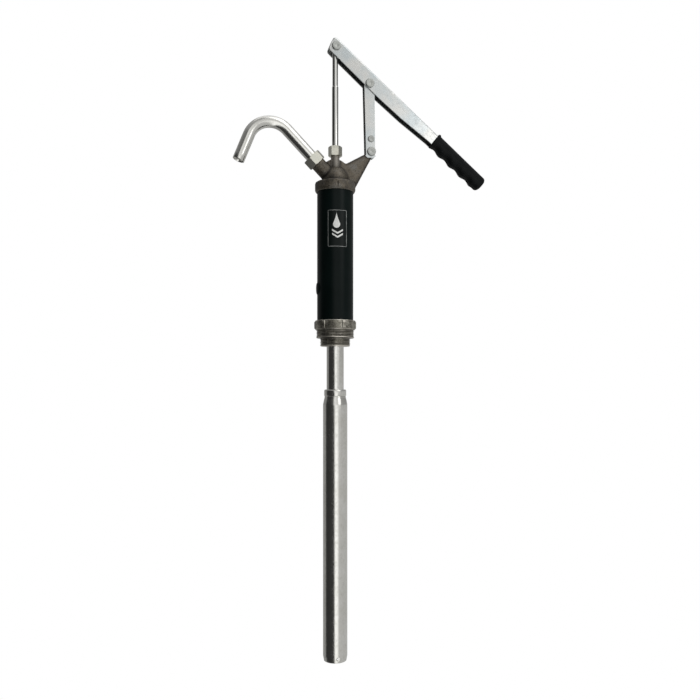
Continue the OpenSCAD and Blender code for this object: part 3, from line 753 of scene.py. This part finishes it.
def wrapped(outlines, radius, thickness, centre_z):
    """Flat outlines of (round, up) millimetres, laid on the barrel's front as a thin film."""
    form = bmesh.new()
    for outline in outlines:
        form.faces.new([form.verts.new((u, v, 0)) for u, v in outline])
    for at in np.arange(-20, 20, 1.0):
        parts = form.verts[:] + form.edges[:] + form.faces[:]
        bmesh.ops.bisect_plane(form, geom=parts, plane_co=(at, 0, 0), plane_no=(1, 0, 0), dist=1e-5)
    for part in bmesh.ops.extrude_face_region(form, geom=form.faces[:])["geom"]:
        if isinstance(part, bmesh.types.BMVert):
            part.co.z = thickness
    points = []
    for vertex in form.verts:
        turn = math.radians(-90 - FRONT_TURN) + vertex.co.x / radius
        reach = radius + vertex.co.z
        points.append((reach * math.cos(turn), reach * math.sin(turn), centre_z + vertex.co.y))
    form.verts.index_update()
    faces = [[v.index for v in face.verts] for face in form.faces]
    form.free()
    return np.array(points), faces


def rectangle(half_w, half_h, corner):
    return rounded([(-half_w, -half_h, corner), (half_w, -half_h, corner),
                    (half_w, half_h, corner), (-half_w, half_h, corner)])


def band(outer, inner):
    """Quads between two outlines with the same number of points."""
    count = len(outer)
    return [[outer[i], outer[(i + 1) % count], inner[(i + 1) % count], inner[i]] for i in range(count)]


def drop(cx, cy, radius, tip):
    """Outline of a falling drop with its tip above."""
    return arc(cx, cy, radius, 150, 390, 20) + [(cx + radius * 0.34, cy + tip * 0.55), (cx, cy + tip),
                                                (cx - radius * 0.34, cy + tip * 0.55)]


def chevron(cy, half_w, rise, thick):
    """Two slanted bars that meet in a point below."""
    return [[(-half_w, cy + rise), (0, cy), (0, cy + thick), (-half_w, cy + rise + thick)],
            [(0, cy), (half_w, cy + rise), (half_w, cy + rise + thick), (0, cy + thick)]]


def barrel_label():
    """Label: black film, thin frame, and a plain drop over two chevrons."""
    low, high = span("barrel_label")
    barrel_r = span("barrel")[1][0]
    half_w, half_h, film, ink = 16.5, (high[2] - low[2]) / 2, 0.1, 0.08
    printed = [drop(-1.5, 6, 5.6, 18)] + chevron(-9, 8.5, 5, 2.8) + chevron(-15, 8.5, 5, 2.8)
    lines = band(rectangle(half_w - 1.3, half_h - 1.3, 1.6), rectangle(half_w - 1.9, half_h - 1.9, 1.1))
    layers = (("label_film", [rectangle(half_w, half_h, 2.5)], 0, film, "label_film"),
              ("label_marks", printed, film, ink, "label_print"),
              ("label_border", lines, film, ink, "label_line"))
    for name, outlines, off, thickness, look in layers:
        shape = wrapped(outlines, barrel_r + off, thickness, (low[2] + high[2]) / 2)
        dress(solid(name, shape), "pump_body", "label_print", "barrel_label", look=look)


# ---------- base casting ----------

VALVE_SEAT_R, INLET_R = 16.05, 13.55


def thread(angles, start, end, top, bottom, crest):
    """Rings of a pipe thread from start to end, which runs out at both ends."""
    rings = []
    for level in np.arange(start, end, THREAD_PITCH / 12):
        phase = math.tau * level / THREAD_PITCH - angles
        fade = np.clip(min(top - level, level - bottom) / 1.2, 0, 1)
        rings.append((crest - THREAD_DEPTH * fade * (0.5 - 0.5 * np.cos(phase)) ** 0.8, level))
    return rings


def bottom_cap():
    """Base casting: flange with wrench lugs over two pipe threads."""
    low, high = span("bottom_cap")
    bottom, top = low[2], high[2]
    flange_r, lug_r, lug_half, lugs, lug_turn = 31.7, 33.0, 2.5, 6, 41.6
    large_r, small_r, large_low = 29.8, 23.9, -13.0
    edge = np.array([-0.5, -0.3, -0.1, 0.1, 0.3, 0.5])
    mids = [math.radians(lug_turn + i * 360 / lugs) for i in range(lugs)]
    angles = denser(180, mids, np.concatenate((edge - lug_half, edge + lug_half)) / lug_r)
    away = np.min([np.abs(apart(angles, middle)) for middle in mids], 0) * lug_r
    lug = np.clip((lug_half + 0.4 - away) / 0.8, 0, 1)
    lug = lug * lug * (3 - 2 * lug)
    rings = beside(small_r, bottom, (-1.5, 0), (-0.9, 0.25))
    rings += thread(angles, bottom + 1.0, large_low - 0.9, large_low - 0.8, bottom + 0.4, small_r)
    rings += beside(small_r, large_low, (-1.2, -0.8), (-1.2, 0))
    rings += beside(large_r, large_low, (-0.7, 0), (-0.1, 0.25), (0, 0.6))
    rings += thread(angles, large_low + 1.6, -0.3, -0.2, large_low + 1.4, large_r)
    rings += beside(large_r, 0, (-0.6, -0.15), (-0.4, 0)) + beside(flange_r, 0, (-1, 0), (-0.3, 0.25), (0, 1))
    # how far the lugs stand out, by level
    stands = ((1.4, 0), (1.7, 0.3), (2.0, 0.8), (2.4, 1), (6, 1), (9, 1), (12.2, 1), (12.7, 0.85),
              (13.1, 0.4), (13.4, 0))
    rings += [(flange_r + (lug_r - flange_r) * lug * share, level) for level, share in stands]
    rings += beside(flange_r, top, (0, -0.7), (-0.25, -0.2), (-0.8, 0))
    rings += [(BARREL_SEAT_R, top), (BARREL_SEAT_R, 3), (VALVE_SEAT_R, 3), (VALVE_SEAT_R, -8), (INLET_R, -8),
              (INLET_R, bottom)]
    casting = solid("base_casting", lathe(rings, angles))
    roughened(casting, 0.1, 4, keep=lambda p: p.z < 0.2 or math.hypot(p.x, p.y) < 29)
    dress(casting, "pump_body", "cast_base", "bottom_cap", sharp=45)


# ---------- suction tubes ----------


def upper_suction_tube():
    """Plain tube; rings near its ends keep its long sides' shading straight."""
    low, high = span("upper_suction_tube")
    side = [(low[2], 0.5), (low[2] + 1, 0), (high[2] - 1, 0), (high[2], 0.3)]
    profile = [(high[0], *end) for end in side] + [(high[0] - TUBE_WALL, *end) for end in side[::-1]]
    tube = solid("fixed_tube", lathe(rounded(profile, 3), 96))
    dress(tube, "pump_body", "tube_plate", "upper_suction_tube")


def lower_suction_tube():
    """Sliding tube: rolled collar at the top, tapered end with three locking dimples round the strainer."""
    low, high = span("lower_suction_tube")
    bottom, top, outer = low[2], high[2], high[0]
    collar_r, lip_r, roll_r = 17.4, 13.8, 2.2
    neck, shoulder = top - 11, top - 23
    taper_h, taper = 8, 1.4
    dimple_z, dimple_r, dimple_depth, hole_r = bottom + 6.5, 3.6, 0.9, 1.4
    dimples = [math.radians(-90 + 120 * i) for i in range(3)]
    angles = denser(96, dimples, np.arange(-4.5, 4.51, 0.45) / outer)

    def wall_at(level, thin):
        """Radius of the tube's wall, drawn in at its end and with the dimples pressed in."""
        radius = outer - thin - np.clip((bottom + taper_h - level) / taper_h, 0, 1) * taper
        for middle in dimples:
            off = np.clip(np.hypot(apart(angles, middle) * outer, level - dimple_z) / dimple_r, 0, 1)
            radius = radius - dimple_depth * (0.5 + 0.5 * np.cos(math.pi * off))
        return radius

    levels = [*np.arange(bottom + 0.4, bottom + 12, 0.45), *np.arange(bottom + 20, shoulder, 25)]
    rings = [(outer - taper - 0.35, bottom)] + [(wall_at(level, 0), level) for level in levels]
    rings += beside(outer, shoulder, (0, -1), (-0.1, 0), (-0.45, 1.6))
    rings += beside(collar_r, neck, (0.45, -5.6), (0.05, -4.2), (-0.35, -2.6), (-0.5, -1.6), (-0.45, -0.7))
    rings += arc(collar_r - roll_r, neck + roll_r, roll_r, -55, 0, 6)
    rings += arc(collar_r - roll_r, top - roll_r, roll_r, 0, 90, 8)
    rings += beside(lip_r, top, (0.3, 0), (0, -0.3)) + [(lip_r, neck - 1)]
    rings += beside(collar_r - TUBE_WALL, neck, (-0.6, -1), (-0.4, -5)) + [(outer - TUBE_WALL, shoulder - 0.6)]
    rings += [(wall_at(level, TUBE_WALL), level) for level in levels[::-1]]
    rings += [(outer - taper - TUBE_WALL + 0.3, bottom)]
    tube = solid("sliding_tube", lathe(rings, angles))
    for middle in dimples:
        at = Matrix.Translation((outer * math.cos(middle), outer * math.sin(middle), dimple_z))
        turn = Matrix.Rotation(middle, 4, "Z") @ Matrix.Rotation(math.radians(90), 4, "Y")
        cut(tube, bar(hole_r, 6, 24), at @ turn)
    dress(tube, "sliding_tube", "tube_plate", "lower_suction_tube", sharp=40)


# ---------- nuts ----------


def nut(name, node, across, low, high, chamfer, socket_r, lip, bore, flare, place, rounding):
    """Hexagon nut with chamfered ends: a socket up to the lip, then a bore, flared by (out, down)."""
    side = across / 2 / np.cos(evenly(144) % (math.pi / 3) - math.pi / 6)
    face_r = across / 2 / math.cos(math.pi / 6) - chamfer
    drop_off = np.clip(side - face_r, 0, None) * 0.6
    face = np.minimum(side, face_r)
    rings = [(socket_r, low), (face, low), (side, low + drop_off), (side, high - drop_off), (face, high),
             (bore + flare[0], high), (bore, high - flare[1]), (bore, lip), (socket_r, lip)]
    made = bevelled(solid(name, lathe(rings, 144), place), rounding, 38)
    dress(made, "pump_body", "nut_zinc", node, sharp=35, flats=True)


def gland_nut():
    """Gland nut: a hexagon on a plain shank, which carries painted shade like the head's creases."""
    low, high = span("gland_nut")
    bore, lip = ROD_R + FIT, GLAND_HEX_LOW + 2
    shank = [(bore, low[2], 0.3), (GLAND_SHANK_R, low[2], 0.5), (GLAND_SHANK_R, lip, 0), (bore, lip, 0)]
    body = solid("gland_shank", lathe(rounded(shank), 72))
    # painted shade: the whole shank is darkened, as it sits in shade under the nut
    mark_painted_shade(body, np.full(len(body.data.vertices), 0.6))
    dress(body, "pump_body", "cast_head", "gland_nut")
    nut("gland_hex", "gland_nut", GLAND_AF, GLAND_HEX_LOW, high[2], 1.4, GLAND_SHANK_R, lip, bore, (1.1, 0.9),
        Matrix.Rotation(math.radians(-GLAND_TURN), 4, "Z"), 0.3)


def spout_union_nut():
    nut("union_hex", "spout_union_nut", UNION_AF, UNION_LOW, UNION_HIGH, 1.6, BOSS_R + 0.05, UNION_LIP,
        SPOUT_R + 0.1, (1.1, 1), SPOUT, 0.4)


# ---------- spout ----------


def bent(points):
    """Bends a straight pipe's points along the spout's centreline."""
    x, y, s = points.T
    turn = math.radians(SPOUT_TURN)
    angle = np.clip((s - SPOUT_BEND_START) / SPOUT_BEND_R, 0, turn)
    past = s - SPOUT_BEND_START - SPOUT_BEND_R * angle
    cx = -SPOUT_BEND_R * (1 - np.cos(angle)) - np.sin(angle) * past
    cz = SPOUT_BEND_START + SPOUT_BEND_R * np.sin(angle) + np.cos(angle) * past
    return np.column_stack((cx + x * np.cos(angle), y, cz + x * np.sin(angle)))


def spout_tube():
    """Bent spout pipe with a slightly oval bend and a chamfered mouth."""
    start = BOSS_END + 2.2
    bend_len = SPOUT_BEND_R * math.radians(SPOUT_TURN)
    bend_end = SPOUT_BEND_START + bend_len
    end, inner = bend_end + SPOUT_END, SPOUT_R - SPOUT_WALL
    levels = np.concatenate((np.linspace(start, SPOUT_BEND_START, 8),
                             SPOUT_BEND_START + bend_len * np.linspace(0, 1, 49)[1:],
                             np.linspace(bend_end, end - 0.5, 6)[1:]))

    def oval(level, radius):
        """Ring of the pipe, which a bender leaves a little flat in the bend."""
        inside = np.clip((level - SPOUT_BEND_START) / bend_len, 0, 1)
        flat = 0.02 * math.sin(math.pi * inside) ** 0.5
        return (1 - flat * np.cos(evenly(96)) ** 2) * radius, level

    rings = [(SPOUT_R - 0.3, start)] + [oval(level, SPOUT_R) for level in levels[1:]]
    rings += beside(SPOUT_R, end, (-0.15, -0.15), (-0.45, 0)) + beside(inner, end, (0.35, 0), (0, -0.4))
    rings += [oval(level, inner) for level in levels[-2:0:-1]] + [(inner, start)]
    points, faces = lathe(rings, 96)
    dress(solid("spout_pipe", (bent(points), faces), SPOUT), "spout", "spout_plate", "spout_tube", sharp=45)


# ---------- rod ----------


def piston_rod():
    """Chromed rod over its threadless stud; rings near its ends keep its long side's shading straight."""
    low, high = span("piston_rod")
    shoulder, stud_r, bottom, top = 210, 4, low[2], high[2]
    socket_r, socket_depth = 3.05, 16
    rings = [(0, bottom)] + beside(stud_r, bottom, (-0.6, 0), (0, 0.6), (0, 1.2)) + [(stud_r, shoulder)]
    rings += beside(ROD_R, shoulder, (-0.4, 0), (0, 0.4), (0, 1))
    rings += beside(ROD_R, top, (0, -1.6), (0, -1.0), (-0.35, -0.3), (-0.9, 0))
    rings += [(socket_r, top), (socket_r, top - socket_depth), (0, top - socket_depth)]
    dress(solid("chrome_rod", lathe(rings, 64, closed=False)), "rod", "rod_chrome", "piston_rod")


def eye_field(x, y, z):
    """Field of the rod eye: round eye, neck and the stud in the rod's end; and that of its hole."""
    low, high = span("rod_eye")
    shoulder = low[2] + 14
    around = np.hypot(x, z - rod_pin.z)
    eye = np.maximum(around - EYE_R, np.abs(y) - EYE_HALF)
    neck = bar_distance(np.hypot(x, y), z, EYE_NECK_R, shoulder, rod_pin.z)
    stud = bar_distance(np.hypot(x, y), z, 3, low[2], shoulder + 2)
    return np.minimum(blended(neck, eye, 3), stud), [around - PIN_R - FIT]


def rod_eye():
    low, high = span("rod_eye")
    shape = cast(eye_field, low - 1.2, high + 1.2, 0.4)
    dress(solid("forged_eye", shape), "rod", "rod_chrome", "rod_eye", sharp=50)


# ---------- link and lever channels ----------


def channel(name, outline, half_w, outer_bend, tools, edge, place, body, node):
    """Bent sheet channel: the outline's outer_bend edges are rounded, and the tools are cut away."""
    made = solid(name, extruded(outline, half_w))
    round_edges(made, 2.6, 5, outer_bend)
    for tool in tools:
        cut(made, tool)
    bevelled(made, edge, 55)
    made.data.transform(Matrix.Scale(MM, 4) @ place @ Matrix.Scale(1 / MM, 4))
    dress(made, body, "lever_zinc", node, sharp=35, flats=True)


def link():
    """Link channel, open towards the rod: the sheet is bent round its outer side."""
    half_b, half_w, chamfer, low = LINK_B / 2, LINK_W / 2, 4.2, -10
    outline = rounded([(-LINK_FOOT, low + chamfer, 1), (-LINK_FOOT + chamfer, low, 1.5),
                       (half_b - chamfer, low, 1.5), (half_b, low + chamfer, 1)], 3)
    outline += arc(0, link_length, half_b, 0, 180, 32)

    def outer_bend(p, q):
        return min(p.x, q.x) > half_b - 0.01 and abs(p.y - q.y) < 0.01 and min(p.z, q.z) > low + chamfer - 0.5

    inner_w, inner_x = half_w - LINK_T, half_b - LINK_T
    hollow = rounded([(-LINK_FOOT - 2, -inner_w, 0), (inner_x, -inner_w, 0.8), (inner_x, inner_w, 0.8),
                      (-LINK_FOOT - 2, inner_w, 0)], 3)
    slot = boxed((0, -inner_w, link_length - 6), (20, inner_w, link_length + 20))
    holes = (PIN_R, 0), (PIN_R + FIT, link_length), (RIVET_R, LINK_RIVET_AT)
    tools = [laid(extruded(hollow, 90), z=60), slot] + [laid(bar(radius, 20, 48), z=z) for radius, z in holes]
    channel("link_channel", outline, half_w, outer_bend, tools, 0.3, LINK, "link_arm", "link")


def lever():
    """Lever channel, open below: the top sheet turns down over the nose, the sides taper towards the grip."""
    half_w, inner_w, low_z = LEVER_W / 2, LEVER_W / 2 - LEVER_T, -30
    nose_x, nose_r = -6, 5
    outline = arc(nose_x, LEVER_TOP - nose_r, nose_r, 180, 90, 10)
    outline += [(LEVER_TAIL, LEVER_TOP), (LEVER_TAIL, LEVER_TAIL_LOW), (GRIP_START, LEVER_TAIL_LOW)]
    outline += [(GRIP_START, LEVER_MOUTH_LOW), (206, LEVER_MOUTH_LOW), (150, -12.6), (98, -14), (60, -13.4),
                (4, -12.4)]
    outline += arc(-1, -6.6, 6, 245, 190, 8)

    def outer_bend(p, q):
        lengthwise = abs(p.y - q.y) < 0.01 and abs(p.y) > half_w - 0.01
        top = min(p.z, q.z) > LEVER_TOP - 0.01
        nose = max(p.x, q.x) < nose_x + 0.1 and min(p.z, q.z) > 1
        return lengthwise and (top or nose)

    hollow = rounded([(-inner_w, low_z, 0), (inner_w, low_z, 0), (inner_w, LEVER_TOP - LEVER_T, 0.9),
                      (-inner_w, LEVER_TOP - LEVER_T, 0.9)], 3)
    start, reach = nose_x - nose_r + LEVER_T, 170
    points, faces = extruded(hollow, reach)
    hollow = np.column_stack((points[:, 1] + reach + start, points[:, 0], points[:, 2])), faces
    tools = [hollow, boxed((-20, -inner_w, low_z), (start + 1, inner_w, 1)), laid(bar(PIN_R, 20, 48)),
             laid(bar(PIN_R, 20, 48), LEVER_PIN_ALONG, -LEVER_PIN_DROP)]
    channel("lever_channel", outline, half_w, outer_bend, tools, 0.35, LEVER, "handle", "lever")


# ---------- grip ----------


def clamped(value):
    """The value, kept between 0 and 1."""
    return min(1, max(0, value))


def lever_grip():
    """Moulded grip: flared mouth, finger waves below, fine chevron ribs and a rounded end."""
    half_w, corner, wave, pitch = 11.5, 9.0, 1.4, 23.8
    first_valley = GRIP_START + 11
    top, low = GRIP_MID + 12.2, GRIP_MID - 10.8
    around, rib_pitch, rib_depth, end_len, end_in = 120, 2.6, 0.28, 5.5, 5.2
    stations = np.concatenate((np.linspace(0, 1.2, 4), np.arange(1.6, GRIP_LEN - end_len, 0.43),
                               GRIP_LEN - end_len * (1 - np.sin(np.linspace(0, math.pi / 2, 14)))))
    # each ring's points lie on a rounded rectangle, in the directions of these angles
    across, upward = np.cos(evenly(around)), np.sin(evenly(around))
    across_size, upward_size = np.maximum(np.abs(across), 1e-6), np.maximum(np.abs(upward), 1e-6)
    rings = []
    for s in stations:
        flare = 1.6 * math.exp(-((s - 2.4) / 2.2) ** 4)
        close = max(0, (s - (GRIP_LEN - end_len)) / end_len)
        shrink = end_in * (1 - math.sqrt(max(0, 1 - close * close)))
        lip = 0.5 * max(0, 1 - s / 1.2) ** 2
        ease = clamped((s - 5) / 4) * clamped((GRIP_LEN - 10 - s) / 6)
        dip = wave * math.cos((GRIP_START + s - first_valley) * 2 * math.pi / pitch) * ease
        high_z = top + flare - shrink - lip
        low_z = low + dip - flare * 0.4 + shrink + lip
        width = half_w + flare * 0.5 - shrink - lip
        centre, half_h = (high_z + low_z) / 2, (high_z - low_z) / 2
        r = min(corner, width - 0.2, half_h - 0.2)
        reach = np.minimum(width / across_size, half_h / upward_size)
        y, z = across * reach, upward * reach
        ky, kz = np.clip(y, -(width - r), width - r), np.clip(z, -(half_h - r), half_h - r)
        off = np.hypot(y - ky, z - kz)
        pull = np.where(off > r, r / np.maximum(off, 1e-6), 1)
        y, z = ky + (y - ky) * pull, kz + (z - kz) * pull
        rib = (0.5 + 0.5 * np.cos(2 * math.pi * (s + 0.55 * np.abs(z)) / rib_pitch)) ** 1.5
        sides = np.clip((np.abs(y) - width * 0.45) / (width * 0.3), 0, 1)
        zone = clamped((s - 8) / 2) * clamped((GRIP_LEN - 11 - s) / 2)
        scale = 1 - rib_depth * rib * sides * zone / np.maximum(np.hypot(y, z), 1)
        rings.append(np.column_stack((np.full(around, GRIP_START + s), y * scale, centre + z * scale)))
    rows = np.arange(len(rings) * around).reshape(-1, around)
    faces = skin(rows) + [rows[0][::-1].tolist(), rows[-1].tolist()]
    grip = solid("grip_rubber", (np.vstack(rings), faces), LEVER)
    pocket = boxed((GRIP_START - 1, -LEVER_W / 2, LEVER_TAIL_LOW), (LEVER_TAIL + 0.1, LEVER_W / 2, LEVER_TOP))
    cut(grip, pocket, LEVER)
    dress(grip, "handle", "grip_rubber", "lever_grip", sharp=45)


# ---------- pins, washers and rivet ----------


def pressed_head(radius, height, face):
    """Rings of a flat pressed head with a small dimple, from its middle to its rim at the face."""
    top, rim_r = face - height, 0.8
    dimple = [(0, top + 0.5), (radius * 0.2, top + 0.42), (radius * 0.36, top + 0.1), (radius * 0.42, top)]
    return dimple + arc(radius - rim_r, top + rim_r, rim_r, -90, 0, 5) + [(radius, face)]


def pin_rings(width, gap):
    """Clevis pin along y: pressed head in front, chamfered tail behind; a gap parts it in two."""
    half, tail = width / 2, width / 2 + 4.6
    front = pressed_head(7, 2.6, -half) + [(PIN_R, -half)]
    back = [(PIN_R, tail - 0.7), (PIN_R - 0.6, tail), (0, tail)]
    if gap is None:
        return [front + back]
    return [front + [(PIN_R, -gap), (0, -gap)], [(0, gap), (PIN_R, gap)] + back]


def split_pin_shape(width):
    """Split pin of half-round wire: eye above, two legs through the hole, bent apart below."""
    wire, eye = 0.42, 1.55
    loop = arc(0, 6.1, eye, -75, 255, 22)
    left = [(-wire, 3.4), (-wire, 0), (-wire, -3.4), (-0.7, -4.4), (-1.7, -5.3), (-3.0, -5.8)]
    right = [(3.4, -5.6), (2.0, -5.2), (0.9, -4.3), (wire, -3.4), (wire, 0), (wire, 3.4)]
    return tube_along([(x, width / 2 + SPLIT_BACK, z) for x, z in right + loop + left], wire)


def pinned(name, width, place, body, pin, washer, split, gap=None):
    """A clevis pin with its washer and split pin; washer and split name the CAD nodes."""
    half, washer_r, thick = width / 2, 6.6, 1.2
    halves = pin_rings(width, gap)
    for number, rings in enumerate(halves):
        made = solid(f"{name}_{number}", lathe(rings, 48, closed=False), place @ ALONG_Y)
        if rings is halves[-1]:
            cut(made, bar(0.9, 9, 16), place @ Matrix.Translation((0, half + SPLIT_BACK, 0)))
        dress(made, body, "pin_zinc", pin)
    ring = rounded([(PIN_R + 0.1, half, 0.1), (washer_r, half, 0.3), (washer_r, half + thick, 0.4),
                    (PIN_R + 0.1, half + thick, 0.1)], 3)
    dress(solid(f"{name}_washer", lathe(ring, 48), place @ ALONG_Y), body, "pin_zinc", washer)
    dress(solid(f"{name}_split_pin", split_pin_shape(width), place), body, "pin_zinc", split)


def pins():
    on_lever = "lever_pin_washers", "lever_split_pins"
    pinned("arm_pin", LINK_W, LINK, "link_arm", "link_pin", "link_pin_washer", "link_split_pin")
    pinned("fulcrum_pin", LEVER_W, LEVER_B, "handle", "lever_pin", *on_lever)
    pinned("eye_pin", LEVER_W, LEVER, "handle", "rod_pin", *on_lever, gap=EYE_HALF + 0.6)
    half = LINK_W / 2
    front = pressed_head(5.2, 2.0, -half)
    rings = front + [(RIVET_R, -half), (RIVET_R, half)] + [(r, -s) for r, s in front[::-1]]
    rivet = solid("link_rivet_body", lathe(rings, 48, closed=False),
                  LINK @ Matrix.Translation((0, 0, LINK_RIVET_AT)) @ ALONG_Y)
    dress(rivet, "link_arm", "pin_zinc", "link_rivet")


# ---------- carried-over CAD nodes ----------


def dress_cad_nodes():
    """Gives each CAD node its slot's procedural finish."""
    for entry in frame["record"]["subparts"]:
        node = frame["nodes"][entry["node"]]
        node.data.materials.clear()
        node.data.materials.append(materials[entry["material_slot"]])


# ---------- floor, light and camera ----------

CAMERA_TURN = -15         # degrees about the pump's axis, towards the spout
CAMERA_DISTANCE = 1.2483  # metres, from the pump's axis
CAMERA_RIGHT = 0.0234
CAMERA_HEIGHT = -0.0869
FLOOR_R = 300
# the surround's greys by azimuth in degrees, below and above the horizon, and overhead
LOW_SURROUND = ((-180, 0.025), (-113, 0.03), (-106, 1.0), (-80, 0.95), (-70, 0.44), (60, 0.38), (76, 0.26),
                (152, 0.24), (162, 0.025))
HIGH_SURROUND = ((-180, 0.025), (-124, 0.03), (-112, 0.8), (-95, 0.7), (-78, 0.46), (-66, 1.0), (-56, 0.95),
                 (-46, 0.26), (60, 0.22), (76, 0.22), (152, 0.20), (162, 0.025))
ZENITH = 0.3


def camera():
    turn = math.radians(CAMERA_TURN)
    toward = Vector((math.sin(turn), -math.cos(turn), 0))
    right = Vector((math.cos(turn), math.sin(turn), 0))
    data = bpy.data.cameras.new("photo_camera")
    data.sensor_width = 36
    data.lens = 40.63
    data.shift_y = 0.05
    obj = added("photo_camera", data)
    obj.location = toward * CAMERA_DISTANCE + right * CAMERA_RIGHT + Vector((0, 0, CAMERA_HEIGHT))
    obj.rotation_euler = (math.radians(90), 0, turn)
    bpy.context.scene.camera = obj


def floor():
    """Plain pale floor, just under the suction tube when that is drawn right out."""
    made = Surface("studio_floor", Roughness=0.8, Emission_Color=(1, 1, 1, 1), Emission_Strength=0.55)
    made.colour(made.ramp(made.noise(300), (0.3, 0.88), (0.7, 0.92)))
    down = span("lower_suction_tube")[0][2] - TUBE_TRAVEL_DOWN - 1
    rings = [(0, 0), (FLOOR_R / 2, 0), (FLOOR_R, 0)]
    ground = solid("floor", lathe(rings, 64, closed=False), Matrix.Translation((0, 0, down)))
    ground.data.materials.append(made.material)
    ground.visible_glossy = False


def world():
    """Soft studio surround, white to the camera: bright in front, dark to the spout's side, grey behind.
    Its brightness follows the azimuth, by one ramp up to the horizon and another above it."""
    made = bpy.data.worlds.new("studio")
    made.use_nodes = True
    made.node_tree.nodes.clear()
    sky = Nodes(made.node_tree)
    split = sky.node("ShaderNodeSeparateXYZ")
    sky.feed(split.inputs[0], sky.node("ShaderNodeTexCoord").outputs["Generated"])
    height = split.outputs["Z"]
    turn = sky.ranged(sky.math("ARCTAN2", split.outputs["Y"], split.outputs["X"]), -math.pi, math.pi)
    around = [[((degrees + 180) / 360, (grey, grey, grey * 0.99)) for degrees, grey in stops]
              for stops in (LOW_SURROUND, HIGH_SURROUND)]
    colour = sky.mix(sky.ranged(height, 0.02, 0.12), *[sky.ramp(turn, *stops) for stops in around])
    colour = sky.mix(sky.ranged(height, 0.45, 0.85), colour, (ZENITH, ZENITH, ZENITH))
    lit = sky.node("ShaderNodeBackground")
    lit.inputs["Strength"].default_value = 1.5
    sky.feed(lit.inputs["Color"], colour)
    seen = sky.node("ShaderNodeBackground")
    seen.inputs["Color"].default_value = (1, 1, 1, 1)
    pick = sky.node("ShaderNodeMixShader")
    sky.feed(pick.inputs[0], sky.node("ShaderNodeLightPath").outputs["Is Camera Ray"])
    sky.feed(pick.inputs[1], lit.outputs[0])
    sky.feed(pick.inputs[2], seen.outputs[0])
    sky.feed(sky.node("ShaderNodeOutputWorld").inputs["Surface"], pick.outputs[0])
    bpy.context.scene.world = made


def softbox(name, azimuth, height, distance, size, power):
    """Square area light aimed at the middle of the pump."""
    data = bpy.data.lights.new(name, "AREA")
    data.size = size
    data.energy = power
    obj = added(name, data)
    turn = math.radians(azimuth)
    obj.location = (distance * math.cos(turn), distance * math.sin(turn), height)
    obj.rotation_euler = (Vector(obj.location) - Vector((0, 0, 0.1))).to_track_quat("Z", "Y").to_euler()


def lights():
    world()
    softbox("key", -45, 2.1, 1.3, 1.6, 15)
    softbox("fill", -57, 0.6, 1.6, 0.5, 1.4)
    softbox("overhead", 60, 2.2, 0.5, 2.0, 8)
    bpy.context.scene.view_settings.view_transform = "Standard"


# ---------- assembly ----------

camera()
lights()
floor()
dress_cad_nodes()
pump_head()
barrel()
barrel_label()
bottom_cap()
upper_suction_tube()
lower_suction_tube()
gland_nut()
spout_union_nut()
spout_tube()
piston_rod()
rod_eye()
link()
lever()
lever_grip()
pins()
